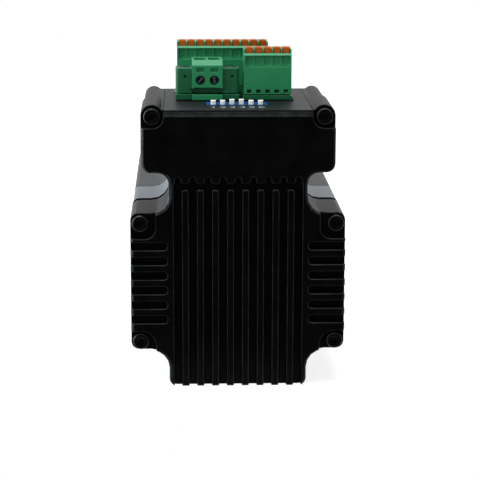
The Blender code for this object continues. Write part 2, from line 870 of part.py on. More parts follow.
def cover_screw_places():
    """Screw axes seen from behind: the four tabs, then the two bosses of the bump."""
    tabs = [(x * SCREW_X, z * SCREW_Z) for z in (1, -1) for x in (-1, 1)]
    return tabs + [(-BOSS_X, BOSS_Z), (BOSS_X, BOSS_Z)]


def pocket_outlines():
    """Recesses round the screw heads, open to the outside and round at their inner corner."""
    x = SCREW_X - POCKET_REACH
    outer = COVER_HALF + POCKET_DEPTH
    beyond = TAB_HALF + POCKET_DEPTH
    upper = pocket((x, SCREW_Z - POCKET_REACH), (outer, beyond), POCKET_ROUND)
    lower = flipped(pocket((x, SCREW_Z - POCKET_LOW_REACH), (outer, beyond), POCKET_LOW_ROUND), "z")
    above = PANEL_HEIGHT + BOSS_RADIUS
    bump = pocket((BOSS_X - BOSS_RADIUS, BOSS_Z - BOSS_RADIUS), (outer, above), POCKET_ROUND)
    return [side for points in (upper, lower, bump) for side in (points, flipped(points, "x"))]


def pocket(inner, outer, rounding):
    (x, z), (far_x, far_z) = inner, outer
    corner = arc((x + rounding, z + rounding), rounding, 180, 270)
    return corner + [(far_x, z), (far_x, far_z), (x, far_z)]


def ridge_places():
    return [(i + 1 - FIN_GROOVES / 2) * FIN_PITCH for i in range(FIN_GROOVES - 1)]


def fin_field():
    """Everything between the fins: one outline with a comb along its top, and a fin in each inner loop."""
    edge = FIN_GROOVES / 2 * FIN_PITCH - FIN_WIDTH / 2
    low = -COVER_HALF - 2 * PAST
    slot_top = FIN_TOP + CROSS_SLOT
    top = slot_top + GROOVE_RUN_OUT
    half = (FIN_PITCH - LAND_WIDTH) / 2
    comb = [(-edge, slot_top)]
    for i in range(FIN_GROOVES):
        middle = (i - (FIN_GROOVES - 1) / 2) * FIN_PITCH
        left, right = middle - half, middle + half
        if i:
            comb += arc((left - FIN_ROUND, slot_top + FIN_ROUND), FIN_ROUND, 270, 360, SMALL_ARC_STEPS)
        else:
            comb.append((left, slot_top))
        comb += arc((left + FIN_ROUND, top - FIN_ROUND), FIN_ROUND, 180, 90, SMALL_ARC_STEPS)
        comb += arc((right - FIN_ROUND, top - FIN_ROUND), FIN_ROUND, 90, 0, SMALL_ARC_STEPS)
        if i < FIN_GROOVES - 1:
            comb += arc((right + FIN_ROUND, slot_top + FIN_ROUND), FIN_ROUND, 180, 270, SMALL_ARC_STEPS)
        else:
            comb.append((right, slot_top))
    field = [(edge, low), (-edge, low)] + comb + [(edge, slot_top)]
    fins = []
    for middle in ridge_places():
        left, right = middle - FIN_WIDTH / 2, middle + FIN_WIDTH / 2
        fin = [(left, low + PAST), (right, low + PAST)]
        fin += arc((right - FIN_ROUND, FIN_TOP - FIN_ROUND), FIN_ROUND, 0, 90, SMALL_ARC_STEPS)
        fin += arc((left + FIN_ROUND, FIN_TOP - FIN_ROUND), FIN_ROUND, 90, 180, SMALL_ARC_STEPS)
        fins.append(fin)
    return [field] + fins


def fin_cutter():
    """The field between the fins, narrower at its floor so that each fin widens to its root."""
    mesh = prism(fin_field(), "Y", -PAST, PAST + FIN_DEPTH)
    beyond = FIN_GROOVES / 2 * FIN_PITCH
    middles = [-beyond, *ridge_places(), beyond]
    for vertex in mesh.vertices:
        if near(vertex.co.y, FIN_DEPTH):
            nearest = min(middles, key=lambda middle: abs(vertex.co.x - middle))
            vertex.co.x += math.copysign(FIN_DRAFT, vertex.co.x - nearest)
    return mesh


def wing_grooves():
    """Level grooves across the side tabs, round at their inner ends."""
    grooves = []
    half = WING_GROOVE / 2
    rounding = half * 0.8
    for i in range(WING_GROOVES):
        z = (i - (WING_GROOVES - 1) / 2) * WING_PITCH
        right = arc((WING_INNER + rounding, z + half - rounding), rounding, 90, 180, SMALL_ARC_STEPS)
        right += arc((WING_INNER + rounding, z - half + rounding), rounding, 180, 270, SMALL_ARC_STEPS)
        right += [(COVER_HALF + PAST, z - half), (COVER_HALF + PAST, z + half)]
        grooves += [right, flipped(right, "x")]
    return grooves


def make_rear_cover():
    shell = prism([cover_outline()], "Y", 0, COVER_DEPTH)
    obj = add_part("rear_cover", shell, black_casting(), smooth=True)

    def rear_edge(first, second):
        if not (near(first.y, 0) and near(second.y, 0)):
            return 0.0
        along_brow = near(first.z, PANEL_HEIGHT) and near(second.z, PANEL_HEIGHT)
        return 1.0 if along_brow else COVER_ROUND / BROW_ROUND

    soften(obj, BROW_ROUND, 3, rear_edge)
    depth = COVER_DEPTH - COVER_BACK + PAST
    cut(obj, prism([cover_hollow()], "Y", COVER_BACK, depth))
    cut_panel_seat(obj, COVER_DEPTH + PAST)
    post_y = COVER_BACK - SINK
    posts = [
        cylinder((x * POST_X, z * POST_Z), POST_RADIUS, "Y", post_y, DRIVER_BOARD_Y - GAP - post_y)
        for x in (-1, 1)
        for z in (-1, 1)
    ]
    boolean(obj, joined(posts), "UNION")
    cut(obj, *[prism([points], "Y", -PAST, PAST + POCKET_DEPTH) for points in pocket_outlines()])
    cut(obj, fin_cutter())
    cut(obj, *[prism([points], "Y", -PAST, PAST + WING_DEPTH) for points in wing_grooves()])
    holes = [
        cylinder(place, SCREW_SHANK / 2 + SLIP, "Y", -PAST, COVER_DEPTH + 2 * PAST)
        for place in cover_screw_places()
    ]
    cut(obj, *holes)


def cut_panel_seat(obj, end):
    """The recess that the terminal panel lies in, and the opening under it."""
    half = PANEL_WIDTH / 2 + GAP
    opening = PANEL_WIDTH / 2 - PANEL_LEDGE
    floor = PANEL_HEIGHT - PANEL_THICK - GAP
    start = PANEL_MARGIN - GAP
    panel_end = PANEL_MARGIN + PANEL_LENGTH
    seat = rectangle(-half, floor, half, PANEL_HEIGHT + BOSS_RADIUS)
    cut(obj, prism([seat], "Y", start, min(end, panel_end + GAP) - start))
    way = rectangle(-opening, floor - COVER_WALL, opening, floor + PAST)
    start = PANEL_MARGIN + PANEL_LEDGE
    cut(obj, prism([way], "Y", start, min(end, panel_end - PANEL_LEDGE) - start))


def make_terminal_housing():
    shell = prism([housing_outline()], "Y", BELL_Y, HOUSING_LENGTH)
    obj = add_part("terminal_housing", shell, black_casting(), smooth=True)
    room = BUMP_HALF - HOUSING_STEP - COVER_WALL
    low = BUMP_FLOOR + HOUSING_STEP + COVER_WALL
    neck = BOSS_X - BOSS_RADIUS - COVER_WALL / 3
    shoulder = BOSS_Z - BOSS_RADIUS - COVER_WALL / 3
    high = PANEL_HEIGHT - PANEL_THICK - COVER_WALL / 3
    hollow = stepped_outline([(room, low, shoulder), (neck, shoulder, high)])
    cut(obj, prism([hollow], "Y", BELL_Y - PAST, HOUSING_LENGTH - COVER_WALL + PAST))
    cut_panel_seat(obj, HOUSING_END + PAST)
    threads = [
        cylinder(place, SCREW_SHANK / 2 + SLIP, "Y", BELL_Y - PAST, SCREW_GRIP + GAP + PAST)
        for place in cover_screw_places()[4:]
    ]
    cut(obj, *threads)


def make_cover_screws():
    head_y = POCKET_DEPTH - GAP - SCREW_HEAD_HEIGHT
    under_head = POCKET_DEPTH - GAP
    tip = BELL_Y + SCREW_GRIP
    for i, (x, z) in enumerate(cover_screw_places(), 1):
        profile = [
            (0, tip),
            (SCREW_SHANK / 2, tip),
            (SCREW_SHANK / 2, under_head),
            (SCREW_HEAD / 2, under_head),
            (SCREW_HEAD / 2, head_y + SLIP),
            (SCREW_HEAD / 2 - SLIP, head_y),
            (0, head_y),
        ]
        mesh = turned(profile, "Y", steps=SMALL_STEPS)
        obj = add_part(f"cover_screw_{i}", mesh, black_screw(), (x, 0, z), smooth=True)
        socket = circle((0, 0), SCREW_SOCKET / 2, 6)
        cut(obj, prism([socket], "Y", head_y - PAST, SCREW_SOCKET_DEPTH + PAST))


def push_plug_width(pins):
    return pins * PIN_PITCH + 2 * PLUG_END


def header_foot(x, y, pins, height):
    """Foot that flares out towards the panel at both ends."""
    half = push_plug_width(pins) / 2
    wide = half + HEADER_FLARE
    low, high = FOOT_LOW, FOOT_LOW + height
    foot = [(x - wide, low), (x + wide, low), (x + half, high), (x - half, high)]
    return prism([foot], "Y", y, PLUG_DEPTH)


def header_neck_outline(x, y, pins, grow=0.0):
    inset = PLUG_WALL + GAP - grow
    half = push_plug_width(pins) / 2 - inset
    return rectangle(x - half, y + inset, x + half, y + PLUG_DEPTH - inset)


def power_half():
    return POWER_POLES * POWER_PITCH / 2 + POWER_END


def power_foot_outline():
    half = power_half() + EAR_WIDTH
    return rectangle(POWER_X - half, POWER_Y, POWER_X + half, POWER_Y + POWER_DEPTH)


def power_neck_outline(grow=0.0):
    half = power_half() - PLUG_WALL - GAP + grow
    low = POWER_Y + ARCH_DEPTH + PLUG_WALL + GAP
    return rectangle(
        POWER_X - half, low - grow, POWER_X + half, POWER_Y + POWER_DEPTH - PLUG_WALL - GAP + grow
    )


def switch_outline(grow=0.0):
    half = SWITCH_WAYS * SWITCH_PITCH / 2 + SWITCH_END + grow
    reach = SWITCH_DEPTH / 2 + grow
    return rectangle(-half, SWITCH_Y - reach, half, SWITCH_Y + reach)


def make_terminal_panel():
    half = PANEL_WIDTH / 2
    plate = rectangle(-half, PANEL_MARGIN, half, PANEL_MARGIN + PANEL_LENGTH)
    holes = [
        switch_outline(GAP),
        power_neck_outline(GAP),
        header_neck_outline(BUS_X, BUS_Y, BUS_PINS, GAP),
        header_neck_outline(IO_X, IO_Y, IO_PINS, GAP),
    ]
    mesh = prism([plate, *holes], "Z", PANEL_HEIGHT - PANEL_THICK, PANEL_THICK)
    add_part("terminal_panel", mesh, black_casting())


# Boards and what lies between them


def make_boards():
    wing, wing_high, middle, middle_high, waist = hollow_steps(BOARD_EDGE)
    outline = stepped_outline(
        [
            (waist, COVER_WALL - COVER_HALF + BOARD_EDGE, -middle_high),
            (middle, -middle_high, -wing_high),
            (wing, -wing_high, wing_high),
            (middle, wing_high, middle_high),
            (waist, middle_high, BUMP_FLOOR + DRIVER_BOARD_RISE),
        ]
    )
    add_part("driver_board", prism([outline], "Y", DRIVER_BOARD_Y, BOARD_THICK), board_laminate())
    half = PANEL_WIDTH / 2 - PANEL_LEDGE - BOARD_EDGE
    start = max(COVER_BACK, PANEL_MARGIN + PANEL_LEDGE) + BOARD_EDGE
    end = HOUSING_END - COVER_WALL - BOARD_EDGE
    flat = rectangle(-half, start, half, end)
    add_part("terminal_board", prism([flat], "Z", BOARD_TOP - BOARD_THICK, BOARD_THICK), board_laminate())
    pad = block(
        (-PAD_WIDTH / 2, COVER_BACK + GAP, -PAD_HEIGHT / 2),
        (PAD_WIDTH / 2, DRIVER_BOARD_Y - GAP, PAD_HEIGHT / 2),
    )
    add_part("thermal_pad", pad, grey_pad())
    link_y = DRIVER_BOARD_Y + BOARD_THICK + GAP
    link = block(
        (-LINK_WIDTH / 2, link_y, BUMP_FLOOR + COVER_WALL),
        (LINK_WIDTH / 2, link_y + LINK_DEPTH, BOARD_TOP - BOARD_THICK - GAP),
    )
    add_part("board_link", link, black_screw())


# Push-in connectors


def pin_places(x, pins):
    return [x + (i - (pins - 1) / 2) * PIN_PITCH for i in range(pins)]


def make_header(name, foot, neck, grip, height):
    """A foot that lies on the panel, on a neck from the board up into the plug."""
    low = BOARD_TOP + GAP
    foot_low = FOOT_LOW
    obj = add_part(name, prism([neck], "Z", low, foot_low + height + grip - low), green_plastic())
    boolean(obj, foot, "UNION")
    return obj


def make_push_plug(name, x, y, pins, base):
    """Plug with a plain plate, a ribbed row above it, a lip, and a button beside each wire hole."""
    half = push_plug_width(pins) / 2
    top = base + PLUG_HEIGHT
    obj = add_part(
        name, block((x - half, y, base), (x + half, y + PLUG_DEPTH, top)), green_plastic(), (0, 0, 0)
    )
    row_low = base + PLUG_PLATE
    row_high = row_low + PLUG_RECESS
    lip_top = row_high + PLUG_LIP
    inner = half - PLUG_CHEEK
    cut(obj, block((x - inner, y - PAST, row_low), (x + inner, y + PLUG_RECESS_DEPTH, row_high)))
    bay = PIN_PITCH / 2 - PLUG_RIB / 2
    slot = BUTTON_WIDTH / 2 + SLIP
    button_low = top + BUTTON_RISE - BUTTON_HEIGHT
    front = y + BUTTON_SET_BACK - SLIP
    back = y + BUTTON_SET_BACK + BUTTON_DEPTH + SLIP
    hole_y = (back + y + PLUG_DEPTH) / 2
    bays, slots, fronts, holes, windows = [], [], [], [], []
    for u in pin_places(x, pins):
        low_z = row_low + PLUG_RIB
        bay_depth = PLUG_RECESS_DEPTH + PLUG_RELIEF
        bays.append(block((u - bay, y - PAST, low_z), (u + bay, y + bay_depth, row_high)))
        floor = button_low - BUTTON_TRAVEL - GAP
        slots.append(block((u - slot, front, floor), (u + slot, back, top + PAST)))
        fronts.append(block((u - slot, y - PAST, lip_top), (u + slot, front + SLIP, top + PAST)))
        hole_low = (u - WIRE_HOLE / 2, hole_y - WIRE_HOLE / 2, top - WIRE_DEPTH)
        holes.append(block(hole_low, (u + WIRE_HOLE / 2, hole_y + WIRE_HOLE / 2, top + PAST)))
        window = base + WINDOW_RISE
        windows.append(
            block(
                (u - WINDOW_WIDTH / 2, y - PAST, window),
                (u + WINDOW_WIDTH / 2, y + PLUG_WALL + GAP / 2, window + WINDOW_HEIGHT),
            )
        )
    edge = row_high + PLUG_LIP / 4
    slope = [(y - PAST, edge), (y, edge), (y + PLUG_SLOPE, lip_top)]
    slope += [(y + PLUG_SLOPE, top + PAST), (y - PAST, top + PAST)]
    cut(obj, prism([slope], "X", x - half - PAST, 2 * half + 2 * PAST))
    cut(obj, *bays)
    cut(obj, *slots)
    cut(obj, *fronts)
    cut(obj, *holes, *windows)
    neck = header_neck_outline(x, y, pins, GAP)
    cut(obj, prism([neck], "Z", base - PAST, PLUG_GRIP + GAP + PAST))


def make_buttons(prefix, x, y, pins, base):
    top = base + PLUG_HEIGHT + BUTTON_RISE
    for i, u in enumerate(pin_places(x, pins), 1):
        mesh = block(
            (-BUTTON_WIDTH / 2, -BUTTON_DEPTH / 2, -BUTTON_HEIGHT), (BUTTON_WIDTH / 2, BUTTON_DEPTH / 2, 0)
        )
        place = (u, y + BUTTON_SET_BACK + BUTTON_DEPTH / 2, top)
        obj = add_part(f"{prefix}_button_{i}", mesh, orange_plastic(), place, smooth=True)
        soften(obj, BUTTON_ROUND, 2, lambda a, b: 1.0 if near(a.z, 0) and near(b.z, 0) else 0.0)


def make_push_connectors():
    rows = (("io", IO_X, IO_Y, IO_PINS, IO_FOOT), ("bus", BUS_X, BUS_Y, BUS_PINS, BUS_FOOT))
    for name, x, y, pins, height in rows:
        foot = header_foot(x, y, pins, height)
        make_header(f"{name}_header", foot, header_neck_outline(x, y, pins), PLUG_GRIP, height)
        base = FOOT_LOW + height + GAP
        make_push_plug(f"{name}_plug", x, y, pins, base)
        make_buttons(name, x, y, pins, base)


# Power connector


def power_places():
    return [POWER_X + (i - (POWER_POLES - 1) / 2) * POWER_PITCH for i in range(POWER_POLES)]


def ear_places():
    reach = power_half() + EAR_WIDTH / 2
    return [POWER_X - reach, POWER_X + reach]


def power_base():
    return FOOT_LOW + POWER_FOOT + GAP


def make_power_plug():
    """Screw plug with sloped shoulders, and an ear with its own screw at each end."""
    base = power_base()
    top = base + POWER_HEIGHT
    y, back = POWER_Y, POWER_Y + POWER_DEPTH
    half = power_half()
    side = [
        (y, base),
        (back, base),
        (back, top),
        (y + POWER_SLOPE_DEPTH, top),
        (y, top - POWER_SLOPE),
    ]
    obj = add_part("power_plug", prism([side], "X", POWER_X - half, 2 * half), green_plastic())
    ears = []
    for side in (-1, 1):
        inner, outer = half - SINK, half + EAR_WIDTH
        front, rear = y + EAR_SET_BACK, y + EAR_SET_BACK + EAR_DEPTH
        corner = arc((outer - EAR_ROUND, front + EAR_ROUND), EAR_ROUND, 270, 360)
        points = [(inner, front), *corner, (outer, rear), (inner, rear)]
        points = [(POWER_X + side * u, v) for u, v in points]
        ears.append(prism([points if side > 0 else points[::-1]], "Z", base, EAR_HEIGHT))
    boolean(obj, joined(ears), "UNION")
    cut_power_plug(obj, base, top)


def cut_power_plug(obj, base, top):
    y = POWER_Y
    entries, dents, clamps, peeps, sinks = [], [], [], [], []
    for x in power_places():
        entry_y = y + (POWER_SLOPE_DEPTH + POWER_DEPTH) / 2
        across, along = ENTRY_WIDTH / 2, ENTRY_LENGTH / 2
        entry = rounded_rectangle(x - across, entry_y - along, x + across, entry_y + along, ENTRY_CORNER)
        entries.append(prism([entry], "Z", top - ENTRY_DEPTH, ENTRY_DEPTH + PAST))
        dent, dent_z = DENT_WIDTH / 2, base + DENT_RISE
        dents.append(block((x - dent, y - PAST, dent_z), (x + dent, y + DENT_DEPTH, dent_z + DENT_HEIGHT)))
        depth = CLAMP_SET_BACK + CLAMP_LENGTH + GAP
        clamps.append(cylinder((x, base + CLAMP_RISE), CLAMP_HOLE / 2, "Y", y - PAST, depth + PAST))
    for x in ear_places():
        ear_front = y + EAR_SET_BACK
        peep = (x + EAR_PEEP_SHIFT, base + EAR_PEEP_RISE)
        peeps.append(cylinder(peep, EAR_PEEP / 2, "Y", ear_front - PAST, EAR_PEEP + PAST, 8))
        sink_low = base + EAR_HEIGHT - EAR_SCREW_SINK
        head = EAR_SCREW_HEAD / 2 + SLIP
        sinks.append(cylinder((x, ear_screw_y()), head, "Z", sink_low, EAR_SCREW_SINK + PAST))
    half = power_half()
    right = [(half + PAST, base - PAST), (half + PAST, base + ARCH_HEIGHT / 2)]
    right += [(half - ARCH_CORNER, base + ARCH_HEIGHT), (ARCH_CORNER, base + ARCH_HEIGHT)]
    arch = right + flipped(right, "x")
    arch = [(POWER_X + u, v) for u, v in arch]
    cut(obj, *entries, *dents, *clamps)
    cut(obj, prism([arch], "Y", y - PAST, ARCH_DEPTH + PAST))
    cut(obj, *peeps, *sinks)
    shanks = [
        cylinder((x, ear_screw_y()), EAR_SCREW_SHANK / 2 + SLIP, "Z", base - PAST, EAR_HEIGHT + 2 * PAST)
        for x in ear_places()
    ]
    cut(obj, *shanks)
    cut(obj, prism([power_neck_outline(GAP)], "Z", base - PAST, power_grip() + GAP + PAST))


def power_grip():
    """How far the header reaches up into the plug, under its clamps."""
    return CLAMP_RISE - CLAMP_HOLE / 2 - PLUG_WALL / 2


def ear_screw_y():
    return POWER_Y + EAR_SET_BACK + EAR_DEPTH - EAR_WIDTH / 2


def make_power_header():
    foot_low = FOOT_LOW
    foot = prism([power_foot_outline()], "Z", foot_low, POWER_FOOT)
    obj = make_header("power_header", foot, power_neck_outline(), power_grip(), POWER_FOOT)
    depth = EAR_SCREW_GRIP + GAP
    thread_low = foot_low + POWER_FOOT - depth
    threads = [
        cylinder((x, ear_screw_y()), EAR_SCREW_SHANK / 2 + SLIP, "Z", thread_low, depth + PAST)
        for x in ear_places()
    ]
    cut(obj, *threads)


def slotted_screw(name, sizes, location, axis):
    """Screw with its head's top at the object's origin and a slot across it."""
    head, head_height, shank, length = sizes
    profile = [
        (0, 0),
        (head / 2, 0),
        (head / 2, -head_height),
        (shank / 2, -head_height),
        (shank / 2, -length),
        (0, -length),
    ]
    if near(head, shank):
        profile = profile[:2] + profile[4:]
    mesh = turned(profile, "Z", steps=SMALL_STEPS)
    slot = block((-head, -SLOT_WIDTH / 2, -SLOT_DEPTH), (head, SLOT_WIDTH / 2, PAST))
    if axis == "Y":
        for shape in (mesh, slot):
            shape.transform(Matrix.Rotation(math.radians(90), 4, "X"))
    obj = add_part(name, mesh, bright_steel(), location, smooth=True)
    cut(obj, slot)


def make_power_screws():
    base = power_base()
    for i, x in enumerate(power_places(), 1):
        place = (x, POWER_Y + CLAMP_SET_BACK, base + CLAMP_RISE)
        sizes = (CLAMP_SCREW, CLAMP_LENGTH / 2, CLAMP_SCREW, CLAMP_LENGTH)
        slotted_screw(f"clamp_screw_{i}", sizes, place, "Y")
    for i, x in enumerate(ear_places(), 1):
        top = base + EAR_HEIGHT - EAR_SCREW_SINK + GAP + EAR_SCREW_HEAD_HEIGHT
        length = top - (base - GAP - EAR_SCREW_GRIP)
        sizes = (EAR_SCREW_HEAD, EAR_SCREW_HEAD_HEIGHT, EAR_SCREW_SHANK, length)
        slotted_screw(f"ear_screw_{i}", sizes, (x, ear_screw_y(), top), "Z")


# Switch row


def switch_places():
    return [(i - (SWITCH_WAYS - 1) / 2) * SWITCH_PITCH for i in range(SWITCH_WAYS)]


def make_switches():
    top = PANEL_HEIGHT + SWITCH_RISE
    low = BOARD_TOP + GAP
    obj = add_part("switch_body", prism([switch_outline()], "Z", low, top - low), blue_plastic())
    half = SLIDER_WIDTH / 2 + SLIP
    reach = (SLIDER_LENGTH + SLIDER_TRAVEL) / 2 + SLIP
    floor = top + SLIDER_RISE - SLIDER_HEIGHT - GAP
    slots = [
        block((x - half, SWITCH_Y - reach, floor), (x + half, SWITCH_Y + reach, top + PAST))
        for x in switch_places()
    ]
    cut(obj, *slots)
    for i, x in enumerate(switch_places(), 1):
        away = 1 if i in SLIDERS_SET else -1
        across, along = SLIDER_WIDTH / 2, SLIDER_LENGTH / 2
        mesh = block((-across, -along, -SLIDER_HEIGHT), (across, along, 0))
        place = (x, SWITCH_Y + away * SLIDER_TRAVEL / 2, top + SLIDER_RISE)
        slider = add_part(f"switch_slider_{i}", mesh, white_plastic(), place, smooth=True)
        soften(slider, SLIDER_ROUND, 2, lambda a, b: 1.0 if near(a.z, 0) and near(b.z, 0) else 0.0)


def main():
    global root, parts, cutters
    clear_scene()
    parts = new_collection("stepper_driver_module")
    cutters = new_collection("cutters")
    root = bpy.data.objects.new("motor_axis", None)
    root.location = (0, -SHAFT_END / 2, COVER_HALF)
    parts.objects.link(root)
    make_rear_bell()
    make_stator_stack()
    make_front_flange()
    make_tie_screws()
    make_windings()
    make_bearings()
    make_shaft()
    make_rotor()
    make_rear_cover()
    make_terminal_housing()
    make_cover_screws()
    make_terminal_panel()
    make_boards()
    make_push_connectors()
    make_power_header()
    make_power_plug()
    make_power_screws()
    make_switches()


main()
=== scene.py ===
import json
import math

import bmesh
import bpy
from mathutils import Matrix, Vector


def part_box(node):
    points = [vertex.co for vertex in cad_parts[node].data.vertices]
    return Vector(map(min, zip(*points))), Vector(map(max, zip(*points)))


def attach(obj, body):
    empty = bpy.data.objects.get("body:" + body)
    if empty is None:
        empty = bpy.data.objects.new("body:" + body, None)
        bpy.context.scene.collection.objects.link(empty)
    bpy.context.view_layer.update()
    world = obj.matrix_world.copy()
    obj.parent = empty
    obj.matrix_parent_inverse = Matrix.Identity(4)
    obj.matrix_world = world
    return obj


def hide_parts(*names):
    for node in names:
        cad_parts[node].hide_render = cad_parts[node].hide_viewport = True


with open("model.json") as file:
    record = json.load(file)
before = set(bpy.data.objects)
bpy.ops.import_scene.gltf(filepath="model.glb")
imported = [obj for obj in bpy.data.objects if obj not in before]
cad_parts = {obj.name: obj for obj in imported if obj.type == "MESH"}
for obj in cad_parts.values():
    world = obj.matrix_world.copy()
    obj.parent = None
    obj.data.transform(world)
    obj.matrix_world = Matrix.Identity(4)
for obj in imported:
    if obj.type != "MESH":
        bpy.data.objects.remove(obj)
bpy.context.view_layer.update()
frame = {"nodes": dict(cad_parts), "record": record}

mm = 0.001
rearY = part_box("rear_cover")[0].y  # finned rear face
axisZ = sum(corner.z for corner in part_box("motor_shaft")) / 2  # motor axis above the floor
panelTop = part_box("terminal_panel")[1].z
nodeSlot = {row["node"]: row["material_slot"] for row in frame["record"]["subparts"]}
nodeBody = {node: body for body, nodes in frame["record"]["behaviour"]["bodies"].items() for node in nodes}


# material helpers

def newMaterial(name):
    mat = bpy.data.materials.new(name)
    mat.use_nodes = True
    nodes, links = mat.node_tree.nodes, mat.node_tree.links
    return mat, nodes, links, nodes["Principled BSDF"], nodes.new("ShaderNodeTexCoord")


def addNoise(nodes, links, coord, scale, detail=4.0, rough=0.6, stretch=None):
    noise = nodes.new("ShaderNodeTexNoise")
    noise.inputs["Scale"].default_value = scale
    noise.inputs["Detail"].default_value = detail
    noise.inputs["Roughness"].default_value = rough
    source = coord.outputs["Object"]
    if stretch:
        mapping = nodes.new("ShaderNodeMapping")
        mapping.inputs["Scale"].default_value = stretch
        links.new(source, mapping.inputs["Vector"])
        source = mapping.outputs["Vector"]
    links.new(source, noise.inputs["Vector"])
    return noise.outputs["Fac"]


def addRamp(nodes, links, source, stops):
    ramp = nodes.new("ShaderNodeValToRGB")
    elements = ramp.color_ramp.elements
    while len(elements) < len(stops):
        elements.new(0.5)
    for element, (at, colour) in zip(elements, stops):
        element.position = at
        element.color = (*colour, 1.0)
    links.new(source, ramp.inputs["Fac"])
    return ramp.outputs["Color"]


def addRange(nodes, links, source, low, high, fromLow=0.0, fromHigh=1.0):
    spread = nodes.new("ShaderNodeMapRange")
    for socket, value in (("From Min", fromLow), ("From Max", fromHigh), ("To Min", low), ("To Max", high)):
        spread.inputs[socket].default_value = value
    links.new(source, spread.inputs["Value"])
    return spread.outputs["Result"]


def addMath(nodes, links, operation, first, second):
    sums = nodes.new("ShaderNodeMath")
    sums.operation = operation
    for socket, value in zip(sums.inputs, (first, second)):
        if isinstance(value, (int, float)):
            socket.default_value = value
        else:
            links.new(value, socket)
    return sums.outputs["Value"]


def addMix(nodes, links, share, first, second):
    mix = nodes.new("ShaderNodeMix")
    mix.data_type = "RGBA"
    links.new(share, mix.inputs["Factor"])
    for socket, value in ((mix.inputs[6], first), (mix.inputs[7], second)):
        if isinstance(value, tuple):
            socket.default_value = (*value, 1.0)
        else:
            links.new(value, socket)
    return mix.outputs[2]


def addBump(nodes, links, shader, source, distance, strength=1.0):
    bump = nodes.new("ShaderNodeBump")
    bump.inputs["Strength"].default_value = strength
    bump.inputs["Distance"].default_value = distance
    links.new(source, bump.inputs["Height"])
    links.new(bump.outputs["Normal"], shader.inputs["Normal"])


waveUnit = 0.314159  # scale of the wave texture that gives one line per metre


def makeFinish(name, look):
    # mottled colour, paler edges (wear and painted highlight), painted shade where marked, grain in gloss and relief,
    # lines of a tool or of sheets if any
    mat, nodes, links, shader, coord = newMaterial(name)
    mottle = addNoise(nodes, links, coord, look["mottle"], 5.0)
    colour = addRamp(nodes, links, mottle, [(0.3, look["dark"]), (0.72, look["light"])])
    grain = addNoise(nodes, links, coord, look["grain"], 3.0, stretch=look.get("stretch"))
    gloss = addRange(nodes, links, grain, *look["rough"], 0.25, 0.75)
    relief = grain
    if "lines" in look:
        wave = nodes.new("ShaderNodeTexWave")
        wave.wave_type = "BANDS" if look["lineAxis"] in "XYZ" else "RINGS"
        if wave.wave_type == "BANDS":
            wave.bands_direction = look["lineAxis"]
        else:
            wave.rings_direction = look["lineAxis"][-1]
            mapping = nodes.new("ShaderNodeMapping")
            mapping.inputs["Location"].default_value = (0.0, 0.0, -axisZ)
            links.new(coord.outputs["Object"], mapping.inputs["Vector"])
        source = coord.outputs["Object"] if wave.wave_type == "BANDS" else mapping.outputs["Vector"]
        links.new(source, wave.inputs["Vector"])
        wave.inputs["Scale"].default_value = waveUnit / look["lines"]
        wave.inputs["Distortion"].default_value = look.get("waver", 0.0)
        band = addRange(nodes, links, wave.outputs["Fac"], 0.0, 1.0, 0.05, 0.45)
        colour = addMix(nodes, links, band, look["lineColour"], colour)
        relief = addMath(nodes, links, "ADD", addMath(nodes, links, "MULTIPLY", grain, 0.5), band)
    # paler edges: partly wear, partly painted highlight placed by how the light falls
    if "edge" in look:
        rubbedAndLit = nodes.new("ShaderNodeAttribute")
        rubbedAndLit.attribute_name = "rubbedAndLit"
        patchy = addRange(nodes, links, addNoise(nodes, links, coord, 380.0), 0.40, 1.05, 0.35, 0.65)
        share = addMath(nodes, links, "MULTIPLY", rubbedAndLit.outputs["Fac"], patchy)
        colour = addMix(nodes, links, share, colour, look["edge"])
        if look.get("bareEdge"):
            links.new(addMath(nodes, links, "MULTIPLY", share, look["bareEdge"]), shader.inputs["Metallic"])
    # a darker colour where faces carry the mark: painted shade
    if "deep" in look:
        deep = nodes.new("ShaderNodeAttribute")
        deep.attribute_name = "deep"
        colour = addMix(nodes, links, deep.outputs["Fac"], colour, look["deep"])
    links.new(colour, shader.inputs["Base Color"])
    links.new(gloss, shader.inputs["Roughness"])
    addBump(nodes, links, shader, relief, look["bump"])
    shader.inputs["Specular IOR Level"].default_value = look["specular"]
    if "metallic" in look:
        shader.inputs["Metallic"].default_value = look["metallic"]
    return mat
